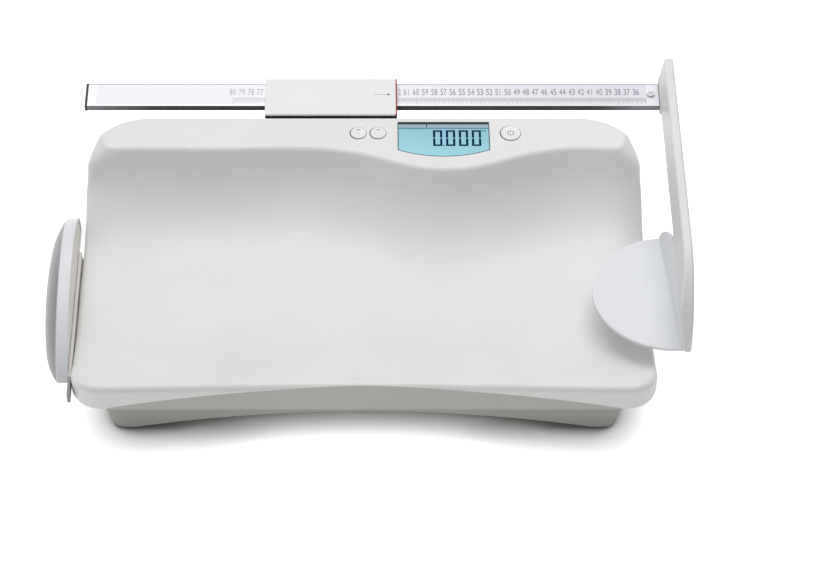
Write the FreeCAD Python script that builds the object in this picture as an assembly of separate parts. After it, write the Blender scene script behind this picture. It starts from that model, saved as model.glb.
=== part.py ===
import FreeCAD, Part
import math
import os

# A digital baby weighing scale with a sliding length-measuring rod.
# Millimetres. X runs along the tray (head end -X, foot end +X), Y from the front to the console at
# the back, Z up from the floor. Sizes are laid out from the middle of the tray; save() moves every
# piece so that the origin is on the floor under the middle of the whole instrument.

# ---- driving dimensions ----
clearance = 0.15          # between pieces that seat on each other
running_gap = 0.3         # between a moving piece and its guide

tray_length = 604.0       # along X
tray_depth = 340.0        # along Y
console_height = 150.0    # flat top at the back of the tray
end = tray_length / 2     # X of the tray's foot end
rear = tray_depth / 2     # Y of the console's rear wall

tray_wall = 3.5
tray_front_bow = 8.0      # how far the front edge is hollowed in plan
tray_front_corner = 32.0
tray_rear_corner = 70.0
tray_taper = 2.0          # each end comes in by this much towards the back
tray_edge_round = 6.0
crest_round = 6.0
skirt_bottom = 63.0       # lower edge of the tray's skirt
front_arch_rise = 27.0    # lift of the skirt's lower edge in the middle of the front
front_arch_span = 0.89    # its share of the tray's length

console_crest = rear - 49.0   # Y of the console's front edge
end_fall = 42.0           # length over which the console rolls over at each end
end_sweep = 4.0           # how far the crest comes forward there
end_drop = 30.0           # and how far it falls
bulge_x = 88.0            # the crest comes forward round the display
bulge_depth = 31.0
bulge_half = 134.0
crown = 10.0              # clear height that keeps the console's top flat behind the crest
trough_floor = 72.0
trough_floor_y = -45.0
rim_height = 93.0         # front edge of the trough
rib_t, rib_depth = 2.0, 3.0
rib_places = (-240.0, -120.0, 0.0, 120.0, 240.0)

button_travel = 1.0
button_proud = 0.8
small_button_r = 8.6
small_button_x = (-6.0, 15.3)
power_button_r = 10.9
power_button_x = 158.0
button_y = rear - 26.0
button_flange = 1.4       # the flange under the console is this much wider than the cap
button_flange_t = 1.5
button_stem_r = 2.6
button_stem = 2.6
button_dish = 0.5         # depth of the hollow in the cap
button_edge = 1.2         # height and width of its rounded edge
switch_side = 6.0         # tact switch body
switch_body_h = 4.3
switch_plunger_r = 1.75
switch_slack = 0.15

window_left, window_right = 36.2, 135.1
window_back, window_side, window_nose = rear - 9.1, rear - 51.7, rear - 61.5
window_t = 2.2
window_ledge = 2.0
lcd_glass_t = 2.8
lcd_frame_t = 1.6
board_t = 1.6
board_z = console_height - 20.0
board_x0, board_x1 = -20.0, 174.0
board_y0, board_y1 = rear - 51.0, rear - 7.0
board_boss_r = 3.6
boss_inset = 5.0          # from the board's edges
chips = [(-8.0, 4.0, 5.0, 17.0, 1.6), (60.0, 74.0, 9.0, 23.0, 1.8),
         (100.0, 118.0, 27.0, 37.0, 4.0), (150.0, 166.0, 9.0, 17.0, 3.0)]
cover_boss_r = 4.5
cover_t = 2.5
cover_rim = 6.0
cover_wall = 1.6
cover_corner = 5.0
cover_z = console_height - 46.0
cover_x0, cover_x1 = -56.0, 214.0
cover_y0, cover_y1 = rear - 62.0, rear - 4.5
vent_x0, vent_count, vent_pitch, vent_width = 60.0, 8, 7.0, 2.5
socket_r, socket_x, socket_z = 4.5, 150.0, console_height - 30.5
socket_half, socket_depth = 7.0, 14.0
socket_bore_r, socket_pin_r = 2.8, 1.0

base_length = tray_length - 56.0
base_y0, base_y1 = 14.0 - rear, rear - 30.0
base_corner = 24.0
base_wall = 3.5
base_inset = 9.0          # the lower sides lean in by this much
base_crease = 46.0        # height at which they stand upright
base_floor = 4.0
base_bottom_round = 4.0
base_gap = 5.0            # between the base's upper edge and the tray
base_top = console_height - 54.0
stiffener_h, stiffener_t = 9.0, 2.0
grip_rise = 39.0          # hollow under the front edge, at its middle
grip_half = 250.0
grip_lip = 10.0           # flat stretch behind the lower front edge
grip_depth = 44.0
grip_slope = 0.9

foot_height = 3.0
foot_r = 12.0
foot_bevel = 1.2
foot_stud_r = 5.0
foot_stud = 5.0
foot_x = end - 76.0
foot_front_y, foot_rear_y = 66.0 - rear, rear - 68.0

plate_t = 2.5             # steel floor plate inside the base
plate_x0, plate_x1 = -150.0, 82.0
plate_half_y = 62.0
plate_corner = 6.0
plate_screw_inset = 10.0
plate_post_r = 4.0
cell_length, cell_width, cell_height = 130.0, 30.0, 22.0
cell_bore_r = 7.5
cell_bore_gap = 17.0
cell_slit = 5.0
cell_thread = 14.0        # depth of the threaded holes at the live end
cell_hole_inset = (10.0, 25.0)
cell_y = -8.0
spacer_length = 34.0
lower_spacer_t, upper_spacer_t = 5.0, 5.0
carrier_t = 3.0
carrier_flange = 9.0
carrier_half_x, carrier_half_y = 212.0, 84.0
carrier_bar = 26.0
carrier_holes = (-150.0, -110.0, 110.0, 150.0)
carrier_hole_r = 11.0
bolt_pass_r = 5.5         # holes that clear the heads of the fixed bolts
pillar_r = 7.0
pillar_inset = 14.0       # from the ends of the carrier's cross bars
pillar_thread = 12.0
bolt_r = 3.0              # M6
screw_r = 1.5             # M3
stop_post_r = 5.0
stop_pin = 4.0            # the narrower tip of each stop
stop_gap = 0.6
stop_x, stop_y = 190.0, 48.0

battery_r, battery_length = 7.1, 50.0
battery_nub_r, battery_nub = 2.7, 1.2
battery_rows, battery_gap = 3, 0.6
battery_x, battery_y = 96.0, -34.0
battery_wall = 2.0
battery_room = 0.5        # over the cells
contact_t = 0.5
contact_half = 6.0
contact_spring = 3.0
door_t = 2.2
door_lap = 4.0
door_travel = 12.0
door_tongue = 1.2
door_lift = 0.2           # free height of the door in its grooves
door_grips, door_grip_pitch, door_grip_width = 4, 4.0, 2.0

rail_top = console_height - 1.0
rail_t = 7.0
rail_width = 35.5
rail_y = rear + 34.3      # middle of the rail
rail_left, rail_right = 1.0 - end, end + 19.3
rail_wall = 1.3
rail_bevel = 0.5
rail_screw_x, rail_screw_r = end + 10.5, 2.2
spigot_half = 7.0
strip_left, strip_right = 10.0 - end, end + 5.5
strip_t = 0.4
strip_margin = 2.6
strip_gap = 0.1
end_cap_t = 3.0
end_cap_bevel = 0.8
plug_length = 9.0
sleeve_left, sleeve_right = -107.5, 36.0
sleeve_front, sleeve_rear = rear + 1.2, rear + 56.4
sleeve_floor_t = 5.0
sleeve_lid_t = 2.2
sleeve_screw_y = rear + 8.7
pocket_offsets = (4.0, 40.0, 80.75, 116.75)   # hollows in the sleeve's front wall
pocket_length = 23.0
reading_line_t = 1.6
pad_length, pad_width, pad_t = 16.0, 5.0, 2.0
pad_inset = 4.0
bracket_t = 3.0
bracket_drop = 40.0
bracket_length = 116.0
bracket_screw_drop = 15.7
gusset_height, gusset_reach = 32.0, 42.0
bracket_boss_r, bracket_boss = 5.0, 10.0

arm_outer = end + 34.0
arm_top_in, arm_low_in = end + 24.5, end + 19.6
arm_top, arm_bottom = console_height + 36.0, console_height + 3.0
arm_rear = rear + 52.5
arm_bend_y = -45.0
arm_nose_y = -127.0
arm_end_z = console_height - 47.0
bend_reach = 50.0         # of the hollow inside the bend
arm_rib = 3.0
arm_round = 3.0
arm_rib_pitch, arm_rib_t = 38.0, 2.2
spigot_length = 26.0
boss_front, boss_bottom = rear + 14.0, console_height - 11.0
web_t = 3.5
scoop_reach, scoop_half = 80.5, 77.5   # the shelf's half-oval, along X and along Y
scoop_x, scoop_y, scoop_z = end + 17.0, -47.5, console_height - 44.0
scoop_t = 3.5
scoop_wall_h = 44.0
scoop_turn = 4.7          # degrees about Z
scoop_flare = 9.0         # degrees from upright
scoop_pad_r = 7.0
scoop_pads = [(-30.0, 12.0), (30.0, 12.0), (0.0, 30.0)]   # along Y and Z from its middle
scoop_screw = 9.0
seat_gap = 0.6            # between the upright and the arm's cut-away side

head_half, head_rise = 107.0, 61.0
head_y, head_z = -30.0, 66.0
head_skew = 0.2           # how far the top leans back for its height
head_rim = 11.5
head_dome = 18.0
head_wall = 4.0
head_floor = 6.0
head_screw_up = 3.0
head_screw_y = (-72.0, -30.0, 12.0)
head_screw = 10.0
clip_t = 3.0
clip_y0, clip_y1 = 12.0 - rear, 40.0
clip_rise = 8.0           # of its plate, over the head stop's lower edge
clip_lip = 4.0

# ---- derived levels and places ----
floor_z = foot_height + base_floor
cell_z = floor_z + plate_t + lower_spacer_t
carrier_z = cell_z + cell_height + upper_spacer_t
carrier_z1 = carrier_z + carrier_t
pillar_x = carrier_half_x - carrier_bar / 2
pillar_y = carrier_half_y - pillar_inset
battery_z = foot_height + door_t + battery_r + battery_gap
sleeve_z = rail_top - rail_t - running_gap - sleeve_floor_t
sleeve_mid = (sleeve_left + sleeve_right) / 2
bracket_screw_z = sleeve_z - bracket_screw_drop
flange_top = console_height - tray_wall - clearance
head_face = -end - 2 * clearance - clip_t
head_out = head_face - head_rim - head_dome
origin_x = (arm_outer + head_out) / 2
origin_y = (sleeve_rear - rear) / 2
web_x = arm_outer - web_t
sink_depth = 0.9 * screw_r + 0.1


# ---- small helpers ----
def vec(x, y, z):
    return FreeCAD.Vector(x, y, z)


def box(x0, x1, y0, y1, z0, z1):
    return Part.makeBox(x1 - x0, y1 - y0, z1 - z0, vec(x0, y0, z0))


def rod(r, x, y, z0, z1):
    """An upright cylinder."""
    return Part.makeCylinder(r, z1 - z0, vec(x, y, z0))


def rod_x(r, x0, x1, y, z):
    return Part.makeCylinder(r, x1 - x0, vec(x0, y, z), vec(1, 0, 0))


def rod_y(r, x, y0, y1, z):
    return Part.makeCylinder(r, y1 - y0, vec(x, y0, z), vec(0, 1, 0))


def rounded_wire(points, radii, z):
    """A closed outline of straight runs whose corners are tangent arcs."""
    edges, first, last = [], None, None
    for i, (x, y) in enumerate(points):
        here = vec(x, y, z)
        before = vec(*points[i - 1], z) - here
        after = vec(*points[(i + 1) % len(points)], z) - here
        half = before.getAngle(after) / 2
        before.normalize()
        after.normalize()
        start = here + before * (radii[i] / math.tan(half))
        end = here + after * (radii[i] / math.tan(half))
        inward = before + after
        inward.normalize()
        middle = here + inward * (radii[i] / math.sin(half) - radii[i])
        if last is not None:
            edges.append(Part.LineSegment(last, start).toShape())
        edges.append(Part.Arc(start, middle, end).toShape())
        first = first or start
        last = end
    edges.append(Part.LineSegment(last, first).toShape())
    return Part.Wire(edges)


def slab(wire, height):
    return Part.Face(wire).extrude(vec(0, 0, height))


def rounded_box(x0, x1, y0, y1, z0, z1, r):
    corners = [(x0, y0), (x1, y0), (x1, y1), (x0, y1)]
    return slab(rounded_wire(corners, [r] * 4, z0), z1 - z0)


def screw(place, way, length, shank_r=screw_r, countersunk=False):
    """A slotted screw seated at place, its shank pointing along way."""
    head_r = 1.9 * shank_r
    head_h = 1.2 * shank_r
    if countersunk:
        head = Part.makeCone(head_r, shank_r, head_r - shank_r)
        head_h = 0.0
    else:
        head = Part.makeCylinder(head_r, head_h, vec(0, 0, -head_h))
    slot = Part.makeBox(2.4 * shank_r, 0.5 * shank_r, 0.5 * shank_r)
    slot.translate(vec(-1.2 * shank_r, -0.25 * shank_r, -head_h))
    body = head.fuse(Part.makeCylinder(shank_r, length)).cut(slot).removeSplitter()
    body.Placement = FreeCAD.Placement(place, FreeCAD.Rotation(vec(0, 0, 1), way))
    return body


UP, DOWN, LEFT, FRONT = vec(0, 0, 1), vec(0, 0, -1), vec(-1, 0, 0), vec(0, -1, 0)


def sink(place, way):
    """A countersink for an M3 screw, to be cut where its head lies."""
    return Part.makeCone(1.9 * screw_r + 0.1, screw_r, sink_depth, place, way)


def middle(edge):
    return edge.valueAt((edge.FirstParameter + edge.LastParameter) / 2)


# ---- the tray ----
def tray_outline(inset, z):
    """The tray's outline in plan, moved in by inset."""
    x = end - inset
    y = rear - inset
    back = x - tray_taper
    points = [(-x, -y), (0, -y + tray_front_bow), (x, -y), (back, y), (-back, y)]
    radii = [tray_front_corner - inset, 4000.0, tray_front_corner - inset,
             tray_rear_corner - inset, tray_rear_corner - inset]
    return rounded_wire(points, radii, z)


def crest_at(x):
    """Y and Z of the console's front edge at x, and how far x is into the falling ends, 0 to 1."""
    bump = 0.0
    if abs(x - bulge_x) < bulge_half:
        bump = bulge_depth * (0.5 + 0.5 * math.cos(math.pi * (x - bulge_x) / bulge_half))
    over = max(0.0, abs(x) - end + end_fall) / end_fall
    y = console_crest - bump - end_sweep * over ** 2
    return y, console_height - end_drop * over ** 2.2, over


def trough_section(x):
    """One closed outline, across the tray, of the space above its trough."""
    crest_y, crest_z, over = crest_at(x)
    fall = crest_z - trough_floor
    lift = crown * max(0.0, 1.0 - over) ** 2
    points = [
        vec(x, rear + 30.0, crest_z + 2.0 + 3.5 * lift),
        vec(x, crest_y + 40.0, crest_z + 2.0 + 1.8 * lift),
        vec(x, crest_y + 5.0, crest_z + 1.5 + 0.65 * lift),
        vec(x, crest_y, crest_z),
        vec(x, crest_y - 0.13 * fall, crest_z - 0.30 * fall),
        vec(x, crest_y - 0.38 * fall, crest_z - 0.60 * fall),
        vec(x, crest_y - 0.85 * fall, crest_z - 0.86 * fall),
        vec(x, trough_floor_y + 30.0, trough_floor + 1.5),
        vec(x, trough_floor_y - 20.0, trough_floor),
        vec(x, trough_floor_y - 65.0, trough_floor + 5.5),
        vec(x, 12.0 - rear, rim_height - 1.5),
        vec(x, -rear - 30.0, rim_height + 10.0),
    ]
    curve = Part.BSplineCurve()
    curve.interpolate(points)
    top = console_height + 60.0
    far = [points[-1], vec(x, points[-1].y, top), vec(x, points[0].y, top), points[0]]
    sides = [Part.LineSegment(a, b).toShape() for a, b in zip(far, far[1:])]
    return Part.Wire([curve.toShape()] + sides)


def trough_space(drop):
    """The space over the trough, moved down into the wall by drop."""
    near_end = [-12, 0, 12, 26, 44, 90]
    stations = [-end + x for x in near_end] + [-end + 160]
    stations += [bulge_x + share * bulge_half for share in (-1, -0.66, -0.33, 0, 0.33, 0.66)]
    stations += [end - x for x in reversed(near_end)]
    space = Part.makeLoft([trough_section(x) for x in stations], True, False)
    space.translate(vec(0, 0.8 * drop, -drop))
    return space


def front_arch(z_mid, z_end, half, y0, y1):
    """A block whose upper side is an arch across the front, for cutting away what is below it."""
    low = min(z_end, 0) - 20.0
    arch = Part.Arc(vec(-half, y0, z_end), vec(0, y0, z_mid), vec(half, y0, z_end)).toShape()
    ends = [vec(half, y0, z_end), vec(half, y0, low), vec(-half, y0, low), vec(-half, y0, z_end)]
    sides = [Part.LineSegment(a, b).toShape() for a, b in zip(ends, ends[1:])]
    return Part.Face(Part.Wire([arch] + sides)).extrude(vec(0, y1 - y0, 0))


def at(shape, x, y, z):
    """A moved copy."""
    copy = shape.copy()
    copy.translate(vec(x, y, z))
    return copy


def joined(shapes):
    return shapes[0].multiFuse(shapes[1:]).removeSplitter()


def tray_body(inset, z0):
    """The tray as a solid block, moved in by inset on every side but the bottom."""
    block = slab(tray_outline(inset, z0), console_height - inset - z0)
    return block.cut(trough_space(inset))


def is_rim(shape, edge):
    """True for the upper edges of the tray's upright sides."""
    point = middle(edge)
    if point.z < skirt_bottom + 1 or abs(edge.tangentAt(edge.FirstParameter).z) > 0.99:
        return False
    for face in shape.ancestorsOfType(edge, Part.Face):
        u, v = face.Surface.parameter(point)
        if abs(face.normalAt(u, v).z) < 0.02:
            return True
    return False


def is_crest(edge):
    point = middle(edge)
    flat = abs(point.z - console_height) < 0.1
    return flat and point.y < console_crest + 9 and edge.Length > tray_length / 2


def window_outline(inset, z):
    """The display window: straight at the back and sides, with a bowed front."""
    x0, x1 = window_left + inset, window_right - inset
    back, side, nose = window_back - inset, window_side + 0.4 * inset, window_nose + inset
    arc = Part.Arc(vec(x0, side, z), vec((x0 + x1) / 2, nose, z), vec(x1, side, z)).toShape()
    ring = [vec(x1, side, z), vec(x1, back, z), vec(x0, back, z), vec(x0, side, z)]
    sides = [Part.LineSegment(a, b).toShape() for a, b in zip(ring, ring[1:])]
    return Part.Wire([arc] + sides)


def pillar_places():
    return [(x, y) for x in (-pillar_x, pillar_x) for y in (cell_y - pillar_y, cell_y + pillar_y)]


def board_bosses():
    near, far = board_y0 + boss_inset, board_y1 - boss_inset
    return [(window_left - 8.0, near), (window_right + 8.0, near),
            (board_x0 + boss_inset, far), (board_x1 - boss_inset, near)]


def cover_bosses():
    return [(x, y) for x in (cover_x0 + 10, cover_x1 - 10) for y in (board_y0 + 10, cover_y1 - 9)]


def trough_ribs(cavity):
    """Stiffening ribs that follow the underside of the trough."""
    low, high = trough_floor - 20, console_height
    bars = [box(x - rib_t / 2, x + rib_t / 2, -0.44 * tray_depth, 0.14 * tray_depth, low, high)
            for x in rib_places]
    bars += [box(-0.46 * tray_length, 0.46 * tray_length, y - rib_t / 2, y + rib_t / 2, low, high)
             for y in (cell_y - pillar_y, cell_y + pillar_y - 20)]
    band = cavity.common(trough_space(tray_wall + rib_depth))
    return [bar.common(band) for bar in bars]


def make_tray():
    tray = tray_body(0, skirt_bottom)
    tray = tray.makeFillet(crest_round, [e for e in tray.Edges if is_crest(e)])
    tray = tray.makeFillet(tray_edge_round, [e for e in tray.Edges if is_rim(tray, e)])
    cavity = tray_body(tray_wall, skirt_bottom - 20)
    tray = tray.cut(cavity)
    posts = [rod(pillar_r, x, y, carrier_z1, console_height) for x, y in pillar_places()]
    posts += [rod(board_boss_r, x, y, board_z + board_t, console_height) for x, y in board_bosses()]
    posts += [rod(cover_boss_r, x, y, cover_z + cover_t, console_height) for x, y in cover_bosses()]
    posts += [rod_y(bracket_boss_r, x, rear - bracket_boss - 2, rear - 2, bracket_screw_z)
              for x in bracket_screws()]
    tray = joined([tray] + [post.common(cavity) for post in posts] + trough_ribs(cavity))
    skirt = front_arch(skirt_bottom + front_arch_rise, skirt_bottom, front_arch_span * end,
                       -tray_depth, -rear + tray_front_bow + tray_wall)
    cuts = [skirt]
    cuts += [rod(screw_r, x, y, carrier_z1 - 1, carrier_z1 + pillar_thread) for x, y in pillar_places()]
    cuts += [rod(screw_r, x, y, board_z, board_z + board_t + 8) for x, y in board_bosses()]
    cuts += [rod(screw_r, x, y, cover_z, cover_z + cover_t + 10) for x, y in cover_bosses()]
    cuts += [rod_y(screw_r, x, rear - bracket_boss, rear + 1, bracket_screw_z)
             for x in bracket_screws()]
    cuts += [slab(window_outline(-clearance, console_height - window_t), window_t + 1),
             slab(window_outline(window_ledge, console_height - tray_wall - 1), tray_wall + 2)]
    cuts += [rod(r + running_gap, x, button_y, console_height - 12, console_height + 1)
             for x, r in buttons()]
    cuts.append(rod_y(socket_r + clearance, socket_x, rear - 10, rear + 1, socket_z))
    return tray.cut(Part.makeCompound(cuts))


def buttons():
    """X and cap radius of the three buttons."""
    return [(small_button_x[0], small_button_r), (small_button_x[1], small_button_r),
            (power_button_x, power_button_r)]


def make_button(x, r):
    """A dished cap on a flange that is held under the console, with a stem for its switch."""
    top = console_height + button_proud
    flange = flange_top
    low = flange - button_flange_t
    stem = low - button_stem
    lip, low_lip, bend = r - button_edge, top - button_edge, 0.3 * button_edge
    dish = Part.Arc(vec(0, 0, top - button_dish), vec(0.5 * r, 0, top - 0.64 * button_dish), vec(lip, 0, top))
    shoulder = Part.Arc(vec(lip, 0, top), vec(r - bend, 0, top - bend), vec(r, 0, low_lip))
    rest = [vec(r, 0, low_lip), vec(r, 0, flange), vec(r + button_flange, 0, flange),
            vec(r + button_flange, 0, low), vec(button_stem_r, 0, low), vec(button_stem_r, 0, stem),
            vec(0, 0, stem), vec(0, 0, top - button_dish)]
    edges = [Part.LineSegment(a, b).toShape() for a, b in zip(rest, rest[1:])]
    outline = Part.Wire([dish.toShape(), shoulder.toShape()] + edges)
    cap = Part.Face(outline).revolve(vec(0, 0, 0), vec(0, 0, 1), 360)
    return at(cap, x, button_y, 0)


def make_switches():
    """Tact switches on the board, their plungers just below the button stems."""
    tip = flange_top - button_flange_t - button_stem - button_travel - switch_slack
    half, foot, shoulder = switch_side / 2, board_z + board_t, board_z + board_t + switch_body_h
    found = []
    for x, _ in buttons():
        body = box(x - half, x + half, button_y - half, button_y + half, foot, shoulder)
        found.append(body.fuse(rod(switch_plunger_r, x, button_y, shoulder, tip)))
    return Part.makeCompound(found)


def make_board():
    board = box(board_x0, board_x1, board_y0, board_y1, board_z, board_z + board_t)
    holes = [rod(screw_r + clearance, x, y, board_z - 1, board_z + board_t + 1) for x, y in board_bosses()]
    parts = [box(x0, x1, board_y0 + y0, board_y0 + y1, board_z - h, board_z) for x0, x1, y0, y1, h in chips]
    return joined([board.cut(Part.makeCompound(holes))] + parts)


def make_window():
    return slab(window_outline(0, console_height - window_t), window_t)


def lcd_box(inset, z0, z1):
    return box(window_left + 1 + inset, window_right - 1 - inset, window_nose + 1 + inset,
               window_back - 0.5 - inset, z0, z1)


def make_lcd_frame():
    """The holder that carries the display glass under the window."""
    top = console_height - tray_wall - clearance
    frame = lcd_box(0, board_z + board_t, top)
    frame = frame.cut(lcd_box(lcd_frame_t, top - lcd_glass_t - 0.1, top + 1))
    return frame.cut(lcd_box(6, board_z, top - lcd_glass_t - 3))


def make_lcd_glass():
    top = console_height - tray_wall - clearance
    return lcd_box(lcd_frame_t + clearance, top - lcd_glass_t, top - 0.1)


def make_console_cover():
    """A shallow tray that closes the electronics from below."""
    top, w = cover_z + cover_t, cover_wall
    tray = rounded_box(cover_x0, cover_x1, cover_y0, cover_y1, cover_z, top + cover_rim, cover_corner)
    tray = tray.cut(rounded_box(cover_x0 + w, cover_x1 - w, cover_y0 + w, cover_y1 - w,
                                top, top + cover_rim + 1, cover_corner - w))
    vents = [vent_x0 + n * vent_pitch for n in range(vent_count)]
    slots = [box(x, x + vent_width, cover_y0 + 20, cover_y1 - 20, cover_z - 1, top + 1) for x in vents]
    holes = [rod(screw_r + clearance, x, y, cover_z - 1, top + 1) for x, y in cover_bosses()]
    return tray.cut(Part.makeCompound(slots + holes))


def make_power_socket():
    """A barrel socket whose mouth looks out through the console's rear wall."""
    wall_in = rear - tray_wall
    body = box(socket_x - socket_half, socket_x + socket_half, wall_in - socket_depth, wall_in - 0.1,
               socket_z - socket_half + 1, socket_z + socket_half - 1)
    barrel = rod_y(socket_r, socket_x, wall_in - 0.2, rear - 0.4, socket_z)
    bore = rod_y(socket_bore_r, socket_x, wall_in - 9, rear, socket_z)
    pin = rod_y(socket_pin_r, socket_x, wall_in - 9.5, rear - 2, socket_z)
    return joined([body, barrel]).cut(bore).fuse(pin)


# ---- the base ----
def base_outline(inset, z):
    x = base_length / 2 - inset
    points = [(-x, base_y0 + inset), (x, base_y0 + inset), (x, base_y1 - inset), (-x, base_y1 - inset)]
    return rounded_wire(points, [base_corner - inset] * 4, z)


def grip_space(grow):
    """The hollow under the front edge; its roof falls away towards the back."""
    lip_y = base_y0 + grip_lip
    front = front_arch(foot_height + grip_rise, foot_height, grip_half, base_y0 - 30, lip_y)
    arch = front_arch(foot_height + grip_rise, foot_height, grip_half, lip_y, lip_y + 1).Faces
    mouth = [f for f in arch if abs(f.CenterOfMass.y - lip_y) < 0.01][0]
    back = mouth.extrude(vec(0, grip_depth, -grip_slope * grip_depth))
    return at(joined([front, back]), 0, 0.6 * grow, 0.75 * grow)


def base_body(inset, z0, top_drop):
    lean = inset + base_inset
    rings = [base_outline(lean + base_bottom_round, z0), base_outline(lean, z0 + base_bottom_round),
             base_outline(inset, base_crease)]
    lower = Part.makeLoft(rings, True, True)
    upper = slab(base_outline(inset, base_crease), base_top - base_crease)
    body = lower.fuse(upper).cut(grip_space(inset))
    return body.cut(trough_space(top_drop)) if top_drop else body


def bay():
    """The battery bay in plan: x0, x1, y0, y1."""
    length = 2 * contact_t + contact_spring + 2 * battery_length
    width = battery_rows * (2 * battery_r + battery_gap)
    return battery_x, battery_x + length, battery_y, battery_y + width


def make_base_housing():
    floor = foot_height + base_floor
    shell = base_body(0, foot_height, tray_wall + base_gap)
    cavity = base_body(base_wall, floor, 0)
    shell = shell.cut(cavity)
    x0, x1, y0, y1 = bay()
    lap, low = door_lap, door_t - door_tongue
    cuts = [box(x0, x1, y0, y1, 0, floor + 1),
            box(x0 - lap - door_travel, x1 + lap, y0 - lap, y1 + lap, 0, foot_height + low + 0.1),
            box(x0 - lap - door_travel, x1 + lap, y0 - lap - 1.5, y1 + lap + 1.5,
                foot_height + low, foot_height + door_t + 2 * door_lift)]
    cuts += [rod(foot_stud_r + clearance, x, y, 0, floor + 1) for x, y in foot_places()]
    posts = [rod(plate_post_r, x, y, foot_height + 1, floor) for x, y in plate_screws()]
    shell = shell.cut(Part.makeCompound(cuts))
    drills = [rod(screw_r, x, y, foot_height + 1, floor + 1) for x, y in plate_screws()]
    place, half = foot_x + foot_r, stiffener_t / 2
    walls = [box(x - half, x + half, base_y0, base_y1, floor, floor + stiffener_h) for x in (-place, place)]
    return joined([shell] + posts + [wall.common(cavity) for wall in walls]).cut(Part.makeCompound(drills))


def foot_places():
    return [(x, y) for x in (-foot_x, foot_x) for y in (foot_front_y, foot_rear_y)]


def make_feet():
    """Rubber feet whose studs press into the base."""
    found = []
    for x, y in foot_places():
        pad = Part.makeCone(foot_r - foot_bevel, foot_r, foot_bevel)
        pad = pad.fuse(rod(foot_r, 0, 0, foot_bevel, foot_height))
        stud = rod(foot_stud_r, 0, 0, foot_height, foot_height + foot_stud)
        found.append(at(joined([pad, stud]), x, y, 0))
    return Part.makeCompound(found)


def plate_screws():
    inset, half = plate_screw_inset, plate_half_y - plate_screw_inset
    return [(x, y) for x in (plate_x0 + inset, plate_x1 - inset) for y in (-half, half)]


def make_floor_plate():
    top = floor_z + plate_t
    plate = rounded_box(plate_x0, plate_x1, -plate_half_y, plate_half_y, floor_z, top, plate_corner)
    holes = [rod(screw_r + clearance, x, y, floor_z - 1, top + 1) for x, y in plate_screws()]
    holes += [rod(bolt_r, x, cell_y, floor_z - 1, top + 1) for x in cell_bolts(-1)]
    return plate.cut(Part.makeCompound(holes))


def cell_bolts(side):
    """X of the two bolts at one end of the load cell; side is -1 or 1."""
    return [side * (cell_length / 2 - inset) for inset in cell_hole_inset]


def make_load_cell():
    """A single-point cell: a bar thinned by two bores joined into one opening."""
    y0, y1, top = cell_y - cell_width / 2, cell_y + cell_width / 2, cell_z + cell_height
    bar = box(-cell_length / 2, cell_length / 2, y0, y1, cell_z, top)
    mid, half = cell_z + cell_height / 2, cell_bore_gap / 2
    cuts = [rod_y(cell_bore_r, x, y0 - 1, y1 + 1, mid) for x in (-half, half)]
    cuts.append(box(-half, half, y0 - 1, y1 + 1, mid - cell_slit / 2, mid + cell_slit / 2))
    cuts += [rod(bolt_r + clearance, x, cell_y, cell_z - 1, top + 1) for x in cell_bolts(-1)]
    cuts += [rod(bolt_r, x, cell_y, top - cell_thread, top + 1) for x in cell_bolts(1)]
    return bar.cut(Part.makeCompound(cuts))


def make_spacer(side, z0, z1):
    x0 = side * cell_length / 2
    x1 = side * (cell_length / 2 - spacer_length)
    block = box(min(x0, x1), max(x0, x1), cell_y - cell_width / 2, cell_y + cell_width / 2, z0, z1)
    holes = [rod(bolt_r + clearance, x, cell_y, z0 - 1, z1 + 1) for x in cell_bolts(side)]
    return block.cut(Part.makeCompound(holes))


def make_cell_bolts():
    through = cell_height + lower_spacer_t + plate_t
    fixed = [screw(vec(x, cell_y, cell_z + cell_height), DOWN, through, bolt_r) for x in cell_bolts(-1)]
    live = [screw(vec(x, cell_y, carrier_z1), DOWN, carrier_t + upper_spacer_t + cell_thread - 2, bolt_r)
            for x in cell_bolts(1)]
    return Part.makeCompound(fixed + live)


def make_carrier():
    """Pressed-steel frame between the load cell and the tray's pillars."""
    z0, z1, z2 = carrier_z, carrier_z1, carrier_z1 + carrier_flange
    half = carrier_bar
    spine = box(-carrier_half_x, carrier_half_x, cell_y - half, cell_y + half, z0, z1)
    pieces = [spine]
    for side in (-1, 1):
        x = side * pillar_x
        reach = carrier_half_y
        pieces.append(box(x - half / 2, x + half / 2, cell_y - reach, cell_y + reach, z0, z1))
        edge = cell_y + side * half
        y0, y1 = (edge - carrier_t, edge) if side > 0 else (edge, edge + carrier_t)
        pieces.append(box(-pillar_x + half / 2 + 2, pillar_x - half / 2 - 2, y0, y1, z0, z2))
    holes = [rod(screw_r + clearance, x, y, z0 - 1, z1 + 1) for x, y in pillar_places()]
    holes += [rod(bolt_r + clearance, x, cell_y, z0 - 1, z1 + 1) for x in cell_bolts(1)]
    holes += [rod(bolt_pass_r, x, cell_y, z0 - 1, z1 + 1) for x in cell_bolts(-1)]
    holes += [rod(carrier_hole_r, x, cell_y, z0 - 1, z1 + 1) for x in carrier_holes]
    return joined(pieces).cut(Part.makeCompound(holes))


def make_stops():
    """Posts that catch the carrier when the tray is overloaded."""
    top = carrier_z - stop_gap
    found = []
    for x in (-stop_x, stop_x):
        for y in (cell_y - stop_y, cell_y + stop_y):
            post = rod(stop_post_r, x, y, floor_z, top - stop_pin)
            found.append(post.fuse(rod(bolt_r, x, y, top - stop_pin, top)))
    return Part.makeCompound(found)


def make_battery_box():
    x0, x1, y0, y1 = bay()
    w = battery_wall
    top = battery_z + battery_r + battery_room
    outer = box(x0 - w, x1 + w, y0 - w, y1 + w, floor_z, top + w)
    return outer.cut(box(x0, x1, y0, y1, floor_z - 1, top))


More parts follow.
